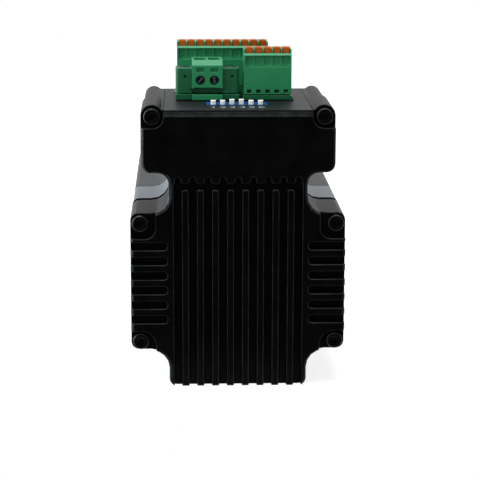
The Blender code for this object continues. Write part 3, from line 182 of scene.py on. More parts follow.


# colours are as seen in daylight, but the edge colours are partly painted highlight; mottle and grain count cells per
# metre, lines are in metres
finishLooks = {
    "blackCasting": dict(dark=(0.0010, 0.0010, 0.0010), light=(0.0030, 0.0030, 0.0030), edge=(0.150, 0.157, 0.166),
                         mottle=170, grain=2600, rough=(0.30, 0.44), bump=0.00002, specular=0.036, bareEdge=1.0),
    "blackPanel": dict(dark=(0.0045, 0.0050, 0.0058), light=(0.0095, 0.0104, 0.0118), edge=(0.010, 0.010, 0.011),
                       mottle=420, grain=3300, rough=(0.40, 0.58), bump=0.00004, specular=0.14),
    "bareAluminium": dict(dark=(0.125, 0.147, 0.168), light=(0.165, 0.190, 0.215), edge=(0.25, 0.28, 0.30),
                          mottle=240, grain=2400, rough=(0.34, 0.52), bump=0.00002, specular=0.5, metallic=0.9),
    "turnedAluminium": dict(dark=(0.50, 0.52, 0.54), light=(0.60, 0.62, 0.64), edge=(0.70, 0.71, 0.72),
                            mottle=240, grain=2400, rough=(0.28, 0.42), bump=0.000006, specular=0.5, metallic=0.95,
                            lines=0.0004, lineAxis="ringsY", lineColour=(0.44, 0.46, 0.48)),
    "sheetStack": dict(dark=(0.017, 0.0195, 0.023), light=(0.031, 0.035, 0.040), edge=(0.08, 0.08, 0.085),
                       mottle=240, grain=2200, rough=(0.38, 0.58), bump=0.00002, specular=0.4, metallic=0.6,
                       lines=0.0005, lineAxis="Y", lineColour=(0.018, 0.018, 0.02), waver=0.15),
    "groundSteel": dict(dark=(0.50, 0.50, 0.51), light=(0.62, 0.62, 0.63), edge=(0.70, 0.70, 0.71),
                        mottle=400, grain=3000, rough=(0.18, 0.30), bump=0.000004, specular=0.5, metallic=1.0,
                        lines=0.0002, lineAxis="Y", lineColour=(0.46, 0.46, 0.47), waver=0.6),
    "blackOxide": dict(dark=(0.0008, 0.0008, 0.0010), light=(0.0022, 0.0022, 0.0025), edge=(0.046, 0.048, 0.052),
                       mottle=700, grain=3200, rough=(0.26, 0.40), bump=0.00001, specular=0.08, bareEdge=1.0),
    # the bright edge colour gives painted glints on the slot walls and rims
    "platedSteel": dict(dark=(0.012, 0.016, 0.018), light=(0.035, 0.043, 0.048), edge=(0.50, 0.56, 0.62),
                        mottle=900, grain=3200, rough=(0.22, 0.38), bump=0.00001, specular=0.5, metallic=1.0),
    "dullPlate": dict(dark=(0.014, 0.017, 0.019), light=(0.035, 0.045, 0.045), edge=(0.06, 0.07, 0.07),
                        mottle=900, grain=3200, rough=(0.22, 0.38), bump=0.00001, specular=0.5, metallic=1.0),
    "greenMoulding": dict(dark=(0.0165, 0.200, 0.073), light=(0.022, 0.235, 0.088), edge=(0.03, 0.25, 0.10),
                          # painted shade in the arch, on the ears and foot ends, and over the headers (there partly a
                          # darker moulding)
                          deep=(0.0095, 0.105, 0.040),
                          mottle=260, grain=2400, rough=(0.30, 0.44), bump=0.000015, specular=0.22),
    "orangeMoulding": dict(dark=(0.42, 0.070, 0.0030), light=(0.49, 0.088, 0.0042), edge=(0.56, 0.115, 0.010),
                           mottle=500, grain=2400, rough=(0.36, 0.52), bump=0.000015, specular=0.12),
    "blueMoulding": dict(dark=(0.006, 0.050, 0.17), light=(0.010, 0.068, 0.21), edge=(0.02, 0.11, 0.36),
                         mottle=500, grain=2400, rough=(0.36, 0.52), bump=0.000015, specular=0.12),
    "whiteMoulding": dict(dark=(0.84, 0.84, 0.81), light=(0.92, 0.92, 0.89), edge=(0.87, 0.87, 0.86),
                          mottle=500, grain=2400, rough=(0.36, 0.52), bump=0.000015, specular=0.12),
    "solderMask": dict(dark=(0.012, 0.09, 0.04), light=(0.02, 0.14, 0.06),
                       mottle=500, grain=1800, rough=(0.30, 0.50), bump=0.00002, specular=0.45),
    "siliconePad": dict(dark=(0.30, 0.32, 0.35), light=(0.42, 0.44, 0.47),
                        mottle=500, grain=1800, rough=(0.70, 0.90), bump=0.00004, specular=0.3),
    "coilEnamel": dict(dark=(0.25, 0.07, 0.02), light=(0.45, 0.15, 0.05), mottle=500, grain=1800,
                       rough=(0.30, 0.45), bump=0.00004, specular=0.5, metallic=0.6),
    "markingInk": dict(dark=(0.20, 0.215, 0.225), light=(0.30, 0.32, 0.33),
                       mottle=2200, grain=4000, rough=(0.55, 0.75), bump=0.000004, specular=0.3),
}
finishes = {name: makeFinish(name, look) for name, look in finishLooks.items()}
slotFinish = {
    "black_casting": "blackCasting", "bare_aluminium": "bareAluminium", "dark_steel": "sheetStack",
    "bright_steel": "groundSteel", "black_screw": "blackOxide", "green_plastic": "greenMoulding",
    "orange_plastic": "orangeMoulding", "blue_plastic": "blueMoulding", "white_plastic": "whiteMoulding",
    "board_laminate": "solderMask", "grey_pad": "siliconePad", "coil_enamel": "coilEnamel",
}
for node, slotName in nodeSlot.items():
    mesh = frame["nodes"][node].data
    mesh.materials.clear()
    mesh.materials.append(finishes[slotFinish[slotName]])
print("finishes made:", len(finishes), "and given to all nodes")


# piece helpers

def finishPiece(name, bm, finish, node, replace=True, smoothAngle=32.0, weighted=True):
    mesh = bpy.data.meshes.new(name)
    bm.normal_update()
    bm.to_mesh(mesh)
    bm.free()
    mesh.shade_smooth()
    mesh.set_sharp_from_angle(angle=math.radians(smoothAngle))
    mesh.materials.append(finishes[finish])
    piece = bpy.data.objects.new(name, mesh)
    bpy.context.scene.collection.objects.link(piece)
    if weighted:
        even = piece.modifiers.new("evenNormals", "WEIGHTED_NORMAL")
        even.keep_sharp = True
        even.weight = 80
    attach(piece, nodeBody[node])
    if replace:
        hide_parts(node)
    return piece


seamFrom, seamTo, seamDrop = 0.45 * mm, 0.85 * mm, 0.55 * mm
grooveFrom, grooveTo = 20.9 * mm, 23.6 * mm


def addMarks(bm):
    # face marks: paler edges (wear and painted highlight) and painted shade
    for name in ("rubbedAndLit", "deep"):
        if not bm.faces.layers.float.get(name):
            bm.faces.layers.float.new(name)
    return bm


def markFaces(bm, name, faces, amount=1.0):
    layer = bm.faces.layers.float[name]
    for face in faces:
        face[layer] = amount


# shares of wear and painted highlight on edges, less where they face left or down; the left rim gets painted highlight
# by height
wearAndLight = dict(share=0.20, left=0.50, under=0.40, lean=0.3)
rim = dict(side=-24.0 * mm, depth=1.2 * mm, lean=0.18,
           steps=((29.0 * mm, 0.72), (-17.0 * mm, 0.38), (-60.0 * mm, 0.12)))


def rimShare(at):
    # painted highlight on the left rim: most on the bump, less on the tabs and little below them
    return next(share for low, share in rim["steps"] if at.z > axisZ + low)


def wornShare(face):
    # paler edges as painted highlight and wear: most on the left rim, and otherwise most on edges that face right or up
    at, way = face.calc_center_median(), face.normal
    if at.x < rim["side"] and at.y < rearY + rim["depth"] and max(way.xy) < -rim["lean"]:
        return rimShare(at)
    if way.z < -wearAndLight["lean"]:
        return wearAndLight["share"] * wearAndLight["under"]
    return wearAndLight["share"] * (wearAndLight["left"] if way.x < -wearAndLight["lean"] else 1.0)


def onSeam(edge):
    # the panel's front edge, the lip before it and the groove at the motor stay sharp and dark
    depths = [vert.co.y - rearY for vert in edge.verts]
    atPanel = all(seamFrom < depth < seamTo for depth in depths)
    inGroove = all(grooveFrom < depth < grooveTo for depth in depths)
    return inGroove or (atPanel and all(vert.co.z > panelTop - seamDrop for vert in edge.verts))


def softenEdges(bm, width, steps, angle=25.0, sharp=False):
    # rounds the edges that have room for it, outer corners first, which get the mark of wear and painted highlight
    count = 0
    for outer in (True, False):
        edges = []
        for edge in bm.edges:
            flat = edge.calc_face_angle(0.0) < math.radians(angle)
            if len(edge.link_faces) != 2 or edge.is_convex != outer or flat:
                continue
            length = edge.calc_length()
            room = min(face.calc_area() for face in edge.link_faces) / max(length, 1e-9)
            if room > 1.6 * width and length > 0.4 * width and not (sharp and onSeam(edge)):
                edges.append(edge)
        made = bmesh.ops.bevel(bm, geom=edges, offset=width, offset_type="OFFSET", segments=steps, profile=0.5,
                               affect="EDGES", clamp_overlap=False, material=-1)
        if outer:
            bm.normal_update()
            for face in made["faces"]:
                markFaces(bm, "rubbedAndLit", [face], wornShare(face))
        count += len(made["faces"])
    bmesh.ops.remove_doubles(bm, verts=bm.verts, dist=2e-6)
    bmesh.ops.dissolve_degenerate(bm, edges=bm.edges, dist=2e-6)
    return count


def nodeCopy(node):
    bm = bmesh.new()
    bm.from_mesh(frame["nodes"][node].data)
    bmesh.ops.remove_doubles(bm, verts=bm.verts, dist=2e-6)
    bmesh.ops.dissolve_limit(bm, angle_limit=math.radians(0.4), verts=bm.verts, edges=bm.edges)
    return addMarks(bm)


def blocks(corners):
    bm = bmesh.new()
    for low, high in corners:
        low, high = Vector(low), Vector(high)
        bmesh.ops.create_cube(bm, size=1.0, matrix=Matrix.LocRotScale((low + high) / 2, None, high - low))
    return bm


def changeForm(bm, operation, shape):
    # takes a shape out of a closed mesh, or joins it to it
    blank = bpy.data.objects.new("blank", bpy.data.meshes.new("blank"))
    bm.to_mesh(blank.data)
    tool = bpy.data.objects.new("tool", bpy.data.meshes.new("tool"))
    shape.to_mesh(tool.data)
    shape.free()
    for obj in (blank, tool):
        bpy.context.scene.collection.objects.link(obj)
    change = blank.modifiers.new("change", "BOOLEAN")
    change.object, change.solver, change.operation = tool, "EXACT", operation
    bpy.context.view_layer.update()
    result = bpy.data.meshes.new_from_object(blank.evaluated_get(bpy.context.evaluated_depsgraph_get()))
    bm.clear()
    bm.from_mesh(result)
    for mesh in (result, blank.data, tool.data):
        bpy.data.meshes.remove(mesh)
    bmesh.ops.remove_doubles(bm, verts=bm.verts, dist=2e-6)
    bmesh.ops.dissolve_limit(bm, angle_limit=math.radians(0.4), verts=bm.verts, edges=bm.edges)
    addMarks(bm)


# pieces whose CAD shape is right, with their edges rounded as cast, moulded or machined
softened = {
    "rear_cover": dict(name="rearCover", finish="blackCasting", width=0.22 * mm, steps=2, angle=20.0, sharp=True),
    "terminal_housing": dict(name="terminalHousing", finish="blackCasting", width=0.20 * mm, steps=2),
    "terminal_panel": dict(name="terminalPanel", finish="blackPanel", width=0.12 * mm, steps=2, sharp=True),
    "rear_bell": dict(name="rearBell", finish="bareAluminium", width=0.15 * mm, steps=2),
    "stator_stack": dict(name="statorStack", finish="sheetStack", width=0.12 * mm, steps=2),
    "front_flange": dict(name="frontFlange", finish="turnedAluminium", width=0.2 * mm, steps=2),
    "motor_shaft": dict(name="motorShaft", finish="groundSteel", width=0.1 * mm, steps=2),
    "switch_body": dict(name="switchBody", finish="blueMoulding", width=0.08 * mm, steps=2),
    "io_header": dict(name="ioHeader", finish="greenMoulding", width=0.1 * mm, steps=2),
    "bus_header": dict(name="busHeader", finish="greenMoulding", width=0.1 * mm, steps=2),
    "power_header": dict(name="powerHeader", finish="greenMoulding", width=0.1 * mm, steps=2),
    "io_plug": dict(name="ioPlug", finish="greenMoulding", width=0.07 * mm, steps=2),
    "bus_plug": dict(name="busPlug", finish="greenMoulding", width=0.07 * mm, steps=2),
    "power_plug": dict(name="powerPlug", finish="greenMoulding", width=0.1 * mm, steps=2),
}
# small changes of form before the edges are rounded
powerFoot = dict(setBack=1.2 * mm, earWidth=4.5 * mm, archDepth=2.2 * mm, archSide=0.85 * mm, past=1.0 * mm)
switchFront = dict(covered=0.85 * mm, sink=0.6 * mm)
panelSeam = 0.26 * mm  # closed at both sides
browHalf = 19.8 * mm
# depth and drop of each row of points, before and after
browMoves = [((0.5 * mm, 0.16 * mm), (0.5 * mm, 0.42 * mm)), ((0.437 * mm, 0.188 * mm), (0.46 * mm, 0.46 * mm)),
             ((0.117 * mm, 0.7 * mm), (0.27 * mm, 0.95 * mm)), ((0.0, 1.4 * mm), (0.0, 1.45 * mm))]
jointLine = dict(start=3.0 * mm, end=0.5 * mm, depth=0.6 * mm, past=0.4 * mm,
                 side=28.65 * mm, corner=2.0 * mm, shoulder=18.7 * mm, hollow=4.8 * mm, waist=18.4 * mm)


def setBackFootEnds(bm):
    low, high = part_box("power_header")
    past = powerFoot["past"]
    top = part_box("power_plug")[0].z
    inner = powerFoot["earWidth"]
    spans = ((low.x - past, low.x + inner), (high.x - inner, high.x + past))
    changeForm(bm, "DIFFERENCE", blocks([((left, low.y - past, panelTop), (right, low.y + powerFoot["setBack"], top))
                                         for left, right in spans]))
    # the foot's ends and the ears get painted shade
    markFaces(bm, "deep", [f for f in bm.faces if not low.x + inner < f.calc_center_median().x < high.x - inner])


def closeArchEnds(bm):
    # the row under the clamps stays within the plug's middle part
    low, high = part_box("power_plug")
    inner = powerFoot["earWidth"]
    front, back = low.y + powerFoot["setBack"], low.y + powerFoot["archDepth"] + powerFoot["past"] / 2
    changeForm(bm, "UNION", blocks([((left, front, low.z), (left + inner / 2, back, low.z + powerFoot["archSide"]))
                                    for left in (low.x + inner / 2, high.x - inner)]))
    # the inside of the arch and the ears get painted shade
    shaded = []
    for face in bm.faces:
        at = face.calc_center_median()
        inArch = low.y + 0.1 * mm < at.y < back and at.z < low.z + 2 * powerFoot["archSide"] + 0.1 * mm
        if inArch or not low.x + inner < at.x < high.x - inner:
            shaded.append(face)
    markFaces(bm, "deep", shaded)


def sinkSwitchFront(bm):
    low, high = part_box("switch_body")
    past = powerFoot["past"]
    changeForm(bm, "DIFFERENCE", blocks([((low.x - past, low.y - past, high.z - switchFront["sink"]),
                                          (high.x + past, low.y + switchFront["covered"], high.z + past))]))


def widenPanel(bm):
    low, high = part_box("terminal_panel")
    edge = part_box("switch_body")[0].y
    for vert in bm.verts:
        if abs(vert.co.x - low.x) < 1e-5:
            vert.co.x -= panelSeam
        elif abs(vert.co.x - high.x) < 1e-5:
            vert.co.x += panelSeam
        elif abs(vert.co.y - edge) < 0.5 * mm:
            vert.co.y += switchFront["covered"]


def arcPoints(x, z, radius, first, last, steps):
    # points of an arc with the way out from its middle
    ways = [math.radians(first + (last - first) * i / steps) for i in range(steps + 1)]
    return [(x + radius * math.cos(way), z + radius * math.sin(way), math.cos(way), math.sin(way)) for way in ways]


def cutJointLine(bm):
    # a fine groove just behind the joint with the motor, round the two upper notches
    look = jointLine
    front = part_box("rear_cover")[1].y
    corner, hollow = look["corner"], look["hollow"]
    path = arcPoints(look["side"] - corner, look["shoulder"] - corner, corner, 20, 90, 6)
    bend = arcPoints(look["waist"] + hollow, look["shoulder"] + hollow, hollow, 270, 180, 10)
    path += [(x, z, -outX, -outZ) for x, z, outX, outZ in bend]
    tool = bmesh.new()
    for side in (-1, 1):
        rings = []
        for x, z, outX, outZ in path:
            ends = [(side * (x + outX * reach), axisZ + z + outZ * reach) for reach in (look["past"], -look["depth"])]
            rings.append([tool.verts.new((ends[i][0], front - y, ends[i][1])) for i, y in
                          ((0, look["start"]), (0, look["end"]), (1, look["end"]), (1, look["start"]))])
        for one, two in zip(rings, rings[1:]):
            for i in range(4):
                tool.faces.new((one[i], one[i - 1], two[i - 1], two[i]))
        tool.faces.new(rings[0])
        tool.faces.new(rings[-1])
    bmesh.ops.recalc_face_normals(tool, faces=tool.faces)
    changeForm(bm, "DIFFERENCE", tool)


def shapeRearEdge(bm):
    # the top edge becomes a flat brow below the panel; the brow and the rounding where it faces left get painted
    # highlight
    cutJointLine(bm)
    moved = []
    for vert in bm.verts:
        at = Vector((vert.co.y - rearY, panelTop - vert.co.z))
        for old, new in browMoves:
            if (at - Vector(old)).length < 0.03 * mm and abs(vert.co.x) < browHalf:
                moved.append((vert, new))
    bent = {face for vert, new in moved for face in vert.link_faces if face.normal.y > -0.999}
    bmesh.ops.triangulate(bm, faces=[face for face in bent if abs(face.normal.x) < 0.1 and len(face.verts) > 4])
    for vert, new in moved:
        vert.co.y, vert.co.z = rearY + new[0], panelTop - new[1]
    bm.normal_update()
    # painted highlight: faint on the brow, stronger on the left rim's rounding
    for face in bm.faces:
        at, way = face.calc_center_median(), face.normal
        if at.y < rearY + 1.2 * mm and -0.98 < way.y < -0.2 and at.z < panelTop:
            if at.z > panelTop - 2 * mm and abs(way.x) < 0.1:
                markFaces(bm, "rubbedAndLit", [face], 0.11)
            elif way.x < -rim["lean"]:
                markFaces(bm, "rubbedAndLit", [face], rimShare(at))


def darkenAll(bm):
    # the whole header is darker: partly a darker moulding, partly painted shade at its foot under the plugs
    markFaces(bm, "deep", bm.faces)


reshape = {"power_header": setBackFootEnds, "power_plug": closeArchEnds, "switch_body": sinkSwitchFront,
           "terminal_panel": widenPanel, "rear_cover": shapeRearEdge,
           "bus_header": darkenAll, "io_header": darkenAll}
for node, make in softened.items():
    bm = nodeCopy(node)
    if node in reshape:
        reshape[node](bm)
    count = softenEdges(bm, make["width"], make["steps"], make.get("angle", 25.0), make.get("sharp", False))
    finishPiece(make["name"], bm, make["finish"], node)
    print(make["name"], "edges rounded:", count, "faces")


def turnedSolid(profile, sides):
    # spins a half profile of (radius, height) points about Z
    bm = bmesh.new()
    points = [bm.verts.new((radius, 0.0, height)) for radius, height in profile]
    edges = [bm.edges.new(pair) for pair in zip(points, points[1:])]
    bmesh.ops.spin(bm, geom=points + edges, cent=(0, 0, 0), axis=(0, 0, 1), angle=2 * math.pi,
                   steps=sides, use_merge=True)
    bmesh.ops.remove_doubles(bm, verts=bm.verts, dist=1e-7)
    bmesh.ops.recalc_face_normals(bm, faces=bm.faces)
    return addMarks(bm)


def ringFaces(bm, low, inner):
    # the rounded rim of a head
    middles = [(face, face.calc_center_median()) for face in bm.faces]
    return [face for face, at in middles if low < at.z < -1e-7 and at.xy.length > inner]


# socket-head screws of the cover
socketScrew = dict(sides=48, headHeight=1.6 * mm, rim=0.28 * mm, across=2.0 * mm, depth=1.0 * mm, cone=0.25 * mm,
                   lead=0.1 * mm, shank=1.25 * mm, tip=0.3 * mm, turns=(12, 41, 25, 3, 33, 17))


def makeSocketScrew(node, name, turn):
    look = socketScrew
    low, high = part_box(node)
    radius, length = (high.x - low.x) / 2, high.y - low.y
    corner = look["across"] / 2 / math.cos(math.radians(30))
    rim, lead = look["rim"], look["lead"]
    profile = [(0, -look["depth"] - look["cone"]), (corner * 0.97, -look["depth"]), (corner, -look["depth"] + lead / 2),
               (corner, -lead), (corner + lead, 0), (radius - rim, 0)]
    profile += [(radius - rim + rim * math.sin(a), -rim + rim * math.cos(a)) for a in (0.5, 1.05, 1.5708)]
    profile += [(radius, -look["headHeight"]), (look["shank"], -look["headHeight"]),
                (look["shank"], look["tip"] - length), (look["shank"] - look["tip"], -length), (0, -length)]
    bm = turnedSolid(profile, look["sides"])
    sixth = math.pi / 3
    for vert in bm.verts:  # the round socket becomes a hexagon
        reach = Vector((vert.co.x, vert.co.y)).length
        if 1e-6 < reach < corner * 1.001 and vert.co.z > -look["depth"] - 1e-6:
            angle = math.atan2(vert.co.y, vert.co.x) % sixth - sixth / 2
            across = look["across"] / 2 / math.cos(angle) * reach / corner
            vert.co.x, vert.co.y = vert.co.x * across / reach, vert.co.y * across / reach
    # the head's rim gets a painted highlight ring
    markFaces(bm, "rubbedAndLit", ringFaces(bm, -rim, corner * 1.2))
    centre = Vector(((low.x + high.x) / 2, low.y, (low.z + high.z) / 2))
    turned = Matrix.Rotation(math.radians(90), 4, "X") @ Matrix.Rotation(math.radians(turn), 4, "Z")
    place = Matrix.Translation(centre) @ turned
    bm.transform(place)
    return finishPiece(name, bm, "blackOxide", node)


for i, turn in enumerate(socketScrew["turns"], 1):
    makeSocketScrew(f"cover_screw_{i}", f"coverScrew{i}", turn)
print("cover screws made")

# slotted screws of the power plug
slottedScrew = dict(sides=40, slot=0.5 * mm, depth=0.5 * mm, rim=0.16 * mm, short=0.08 * mm,
                    clampTurns=(-42, 8), earTurns=(25, -50), headHeight=1.0 * mm)


def cutSlot(bm, width, length, depth, top):
    for axis, reach in (((1, 0, 0), width / 2), ((0, 1, 0), length / 2)):
        for side in (-1, 1):
            geom = bm.verts[:] + bm.edges[:] + bm.faces[:]
            bmesh.ops.bisect_plane(bm, geom=geom, plane_co=Vector(axis) * reach * side, plane_no=axis)
    inside = []
    for face in bm.faces:
        centre = face.calc_center_median()
        if abs(centre.x) < width / 2 and abs(centre.y) < length / 2 and abs(centre.z - top) < 1e-6:
            inside.append(face)
    made = bmesh.ops.extrude_face_region(bm, geom=inside)
    bmesh.ops.delete(bm, geom=[f for f in inside if f.is_valid], context="FACES")
    verts = [v for v in made["geom"] if isinstance(v, bmesh.types.BMVert)]
    bmesh.ops.translate(bm, verts=verts, vec=(0, 0, -depth))
    middles = [(face, face.calc_center_median()) for face in bm.faces]
    # the slot's walls get painted glints
    markFaces(bm, "rubbedAndLit", [face for face, at in middles if top - depth * 1.01 < at.z < top - 1e-6
                             and abs(at.x) < width * 0.51 and abs(at.y) < length * 0.51])


def makeSlottedScrew(node, name, turn, axis, finish):
    look = slottedScrew
    low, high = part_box(node)
    rim = look["rim"]
    radius = (high.x - low.x) / 2
    length = (high.y - low.y) if axis == "Y" else (high.z - low.z)
    profile = [(0, 0), (radius - rim, 0)]
    profile += [(radius - rim + rim * math.sin(a), -rim + rim * math.cos(a)) for a in (0.5, 1.05, 1.5708)]
    if axis == "Y":
        profile += [(radius, -length), (0, -length)]
    else:
        shank = radius * 0.645
        profile += [(radius, -look["headHeight"]), (shank, -look["headHeight"]), (shank, -length), (0, -length)]
    bm = turnedSolid(profile, look["sides"])
    cutSlot(bm, look["slot"], 2 * (radius - rim - look["short"]), look["depth"], 0.0)
    # the head's rim gets a painted highlight ring
    markFaces(bm, "rubbedAndLit", ringFaces(bm, -rim, radius - rim))
    spin = Matrix.Rotation(math.radians(turn), 4, "Z")
    if axis == "Y":
        centre = Vector(((low.x + high.x) / 2, low.y, (low.z + high.z) / 2))
        place = Matrix.Translation(centre) @ Matrix.Rotation(math.radians(90), 4, "X") @ spin
    else:
        place = Matrix.Translation(((low.x + high.x) / 2, (low.y + high.y) / 2, high.z)) @ spin
    bm.transform(place)
    return finishPiece(name, bm, finish, node)


for i in (1, 2):
    makeSlottedScrew(f"clamp_screw_{i}", f"clampScrew{i}", slottedScrew["clampTurns"][i - 1], "Y", "platedSteel")
    makeSlottedScrew(f"ear_screw_{i}", f"earScrew{i}", slottedScrew["earTurns"][i - 1], "Z", "dullPlate")
print("plug screws made")

# release buttons and switch sliders: blocks with a dent for the screwdriver's tip
pressButton = dict(round=0.14 * mm, border=0.5 * mm, dent=0.3 * mm, steps=3, slim=0.0, lower=0.0)
switchSlider = dict(round=0.36 * mm, border=0.42 * mm, dent=0.12 * mm, steps=4, slim=0.12 * mm, lower=0.2 * mm)


def makeDentedBlock(node, name, look, finish):
    low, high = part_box(node)
    low += Vector((look["slim"], 0.0, 0.0))
    high -= Vector((look["slim"], 0.0, look["lower"]))
    bm = addMarks(bmesh.new())
    bmesh.ops.create_cube(bm, size=1.0, matrix=Matrix.LocRotScale((low + high) / 2, None, high - low))
    top = max(bm.faces, key=lambda face: face.calc_center_median().z)
    bmesh.ops.inset_region(bm, faces=[top], thickness=look["border"], use_even_offset=True, depth=0.0)
    bmesh.ops.inset_region(bm, faces=[top], thickness=look["dent"] / 2, use_even_offset=True, depth=0.0)
    bmesh.ops.translate(bm, verts=top.verts, vec=(0, 0, -look["dent"]))
    softenEdges(bm, look["round"], look["steps"], 40.0)
    return finishPiece(name, bm, finish, node)


for kind, count in (("io", 10), ("bus", 5)):
    for i in range(1, count + 1):
        makeDentedBlock(f"{kind}_button_{i}", f"{kind}Button{i}", pressButton, "orangeMoulding")
for i in range(1, 7):
    makeDentedBlock(f"switch_slider_{i}", f"switchSlider{i}", switchSlider, "whiteMoulding")
print("buttons and sliders made")

# numbers 1 to 6 in front of the sliders
wayNumbers = dict(height=2.7 * mm, wide=1.0, thick=0.02 * mm, front=5.3 * mm)


def makeWayNumbers():
    bm = bmesh.new()
    for i in range(1, 7):
        low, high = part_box(f"switch_slider_{i}")
        curve = bpy.data.curves.new("wayNumber", "FONT")
        curve.body = str(i)
        curve.align_x = "CENTER"
        curve.size = wayNumbers["height"] / 0.69
        curve.extrude = wayNumbers["thick"] / 2
        holder = bpy.data.objects.new("wayNumber", curve)
        bpy.context.scene.collection.objects.link(holder)
        bpy.context.view_layer.update()
        mesh = bpy.data.meshes.new_from_object(holder.evaluated_get(bpy.context.evaluated_depsgraph_get()))
        height = panelTop + wayNumbers["thick"] * 0.3
        place = Matrix.Translation(((low.x + high.x) / 2, rearY + wayNumbers["front"], height))
        mesh.transform(place @ Matrix.Diagonal((wayNumbers["wide"], 1.0, 1.0, 1.0)))
        bm.from_mesh(mesh)
        bpy.data.objects.remove(holder)
        bpy.data.curves.remove(curve)
        bpy.data.meshes.remove(mesh)
    bmesh.ops.remove_doubles(bm, verts=bm.verts, dist=1e-7)
    piece = finishPiece("wayNumbers", bm, "markingInk", "terminal_panel", replace=False, weighted=False)


makeWayNumbers()
print("way numbers made")

# camera at the photo's angle
cameraSetup = dict(focalPixels=1700.0, imageSide=480.0, sensor=36.0,
                   place=(-0.0153, -0.4408, 0.1063), down=12.10, turn=2.05, roll=0.14)


def makeCamera(setup):
    down, turn, roll = (math.radians(setup[k]) for k in ("down", "turn", "roll"))
    forward = Vector((math.sin(turn) * math.cos(down), math.cos(turn) * math.cos(down), -math.sin(down)))
    right = Vector((math.cos(turn), -math.sin(turn), 0.0))
    up = right.cross(forward)
    right, up = right * math.cos(roll) + up * math.sin(roll), up * math.cos(roll) - right * math.sin(roll)
    data = bpy.data.cameras.new("photoCamera")
    data.sensor_width = setup["sensor"]
    data.lens = setup["focalPixels"] / setup["imageSide"] * setup["sensor"]
    data.clip_start, data.clip_end = 0.01, 50.0
    cam = bpy.data.objects.new("photoCamera", data)
    place = Vector(setup["place"]) + Vector((0.0, rearY, axisZ))
    cam.matrix_world = Matrix.Translation(place) @ Matrix((right, up, -forward)).transposed().to_4x4()
    bpy.context.scene.collection.objects.link(cam)
    bpy.context.scene.camera = cam


makeCamera(cameraSetup)
print("camera placed")

# studio: white background, even fill, a soft lamp above and a card to the left
studio = dict(fillFront=1.0, fillBack=0.20, frontFrom=-1.12, backTo=-0.25, fromLeft=0.55, tint=(0.94, 0.98, 1.0),
              room=0.14, table=1.0, tableFrom=-0.85, tableTo=-0.45, toRight=-0.9, toTop=0.8, darkTo=-0.35, whiteFrom=0.6,
              floorMiddle=(-0.325, 0.38), floorHalf=(0.475, 0.47), floorWhite=0.40, floorGlow=0.84)
lamps = [
    dict(name="topSoftbox", place=(-0.10, -0.24, 1.15), size=(0.8, 0.55), watts=14.5, tint=(0.90, 0.965, 1.0)),
    dict(name="leftCard", place=(-0.80, 0.10, 0.25), size=(1.2, 0.6), watts=10.5, tint=(0.76, 0.89, 1.0)),
]


def addSeen(nodes, links, share=1.0):
    # 1 where the background is looked at, straight on, through glass or, in the given share, in a reflection
    path = nodes.new("ShaderNodeLightPath")
    straight = addMath(nodes, links, "MAXIMUM", path.outputs["Is Camera Ray"], path.outputs["Is Transmission Ray"])
    mirrored = addMath(nodes, links, "MULTIPLY", path.outputs["Is Glossy Ray"], share)
    return addMath(nodes, links, "MAXIMUM", straight, mirrored)


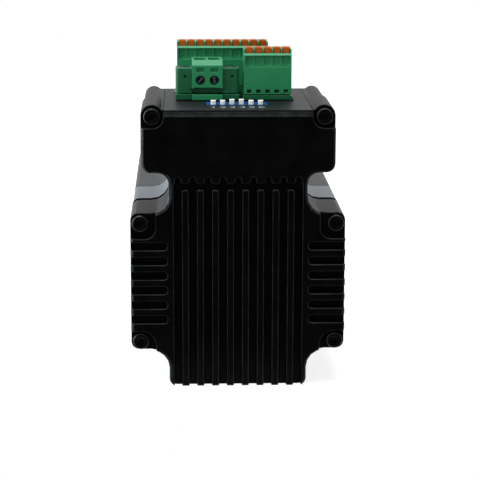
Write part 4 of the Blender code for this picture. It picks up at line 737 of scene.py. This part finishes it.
def makeWorld():
    # reflections show the white background too, but the room in front and to the right is dark
    world = bpy.data.worlds.new("studio")
    bpy.context.scene.world = world
    world.use_nodes = True
    nodes, links = world.node_tree.nodes, world.node_tree.links
    coord = nodes.new("ShaderNodeTexCoord")
    way = nodes.new("ShaderNodeSeparateXYZ")
    links.new(coord.outputs["Generated"], way.inputs["Vector"])
    side = addMath(nodes, links, "MULTIPLY", way.outputs["X"], studio["toRight"])
    lift = addMath(nodes, links, "MULTIPLY", way.outputs["Z"], studio["toTop"])
    ahead = addMath(nodes, links, "ADD", way.outputs["Y"], addMath(nodes, links, "ADD", side, lift))
    share = addRange(nodes, links, ahead, studio["room"], 1.0, studio["darkTo"], studio["whiteFrom"])
    table = addRange(nodes, links, way.outputs["Z"], studio["table"], 0.0, studio["tableFrom"], studio["tableTo"])
    seen = addSeen(nodes, links, addMath(nodes, links, "MAXIMUM", share, table))
    path = nodes.new("ShaderNodeLightPath")
    toLeft = addMath(nodes, links, "MULTIPLY", way.outputs["X"], studio["fromLeft"])
    facing = addMath(nodes, links, "ADD", way.outputs["Y"], toLeft)
    even = addRange(nodes, links, facing, studio["fillFront"], studio["fillBack"],
                    studio["frontFrom"], studio["backTo"])
    fill = addMath(nodes, links, "MULTIPLY", path.outputs["Is Diffuse Ray"], even)
    links.new(addMath(nodes, links, "MAXIMUM", seen, fill), nodes["Background"].inputs["Strength"])
    links.new(addMix(nodes, links, path.outputs["Is Diffuse Ray"], (1.0, 1.0, 1.0), studio["tint"]),
              nodes["Background"].inputs["Color"])


def makeLamp(lamp):
    data = bpy.data.lights.new(lamp["name"], "AREA")
    data.shape = "RECTANGLE"
    data.size, data.size_y = lamp["size"]
    data.energy = lamp["watts"]
    data.color = lamp["tint"]
    obj = bpy.data.objects.new(lamp["name"], data)
    obj.location = lamp["place"]
    aim = Vector((0.0, rearY + 0.03, axisZ)) - obj.location
    obj.rotation_euler = aim.to_track_quat("-Z", "Y").to_euler()
    bpy.context.scene.collection.objects.link(obj)


def makeFloor():
    bm = bmesh.new()
    bmesh.ops.create_grid(bm, x_segments=1, y_segments=1, size=1.0)
    spread = Matrix.Diagonal((*studio["floorHalf"], 1.0, 1.0))
    bm.transform(Matrix.Translation((*studio["floorMiddle"], -0.00002)) @ spread)
    mesh = bpy.data.meshes.new("floor")
    bm.to_mesh(mesh)
    bm.free()
    floor = bpy.data.objects.new("floor", mesh)
    bpy.context.scene.collection.objects.link(floor)
    mat, nodes, links, shader, coord = newMaterial("floorWhite")
    shader.inputs["Base Color"].default_value = (*[studio["floorWhite"]] * 3, 1.0)
    shader.inputs["Roughness"].default_value = 0.9
    shader.inputs["Specular IOR Level"].default_value = 0.1
    shader.inputs["Emission Color"].default_value = (1.0, 1.0, 1.0, 1.0)
    glow = addMath(nodes, links, "MULTIPLY", addSeen(nodes, links), studio["floorGlow"])
    links.new(glow, shader.inputs["Emission Strength"])
    mesh.materials.append(mat)


makeWorld()
for lamp in lamps:
    makeLamp(lamp)
makeFloor()
bpy.context.scene.view_settings.view_transform = "Standard"
print("studio set up")
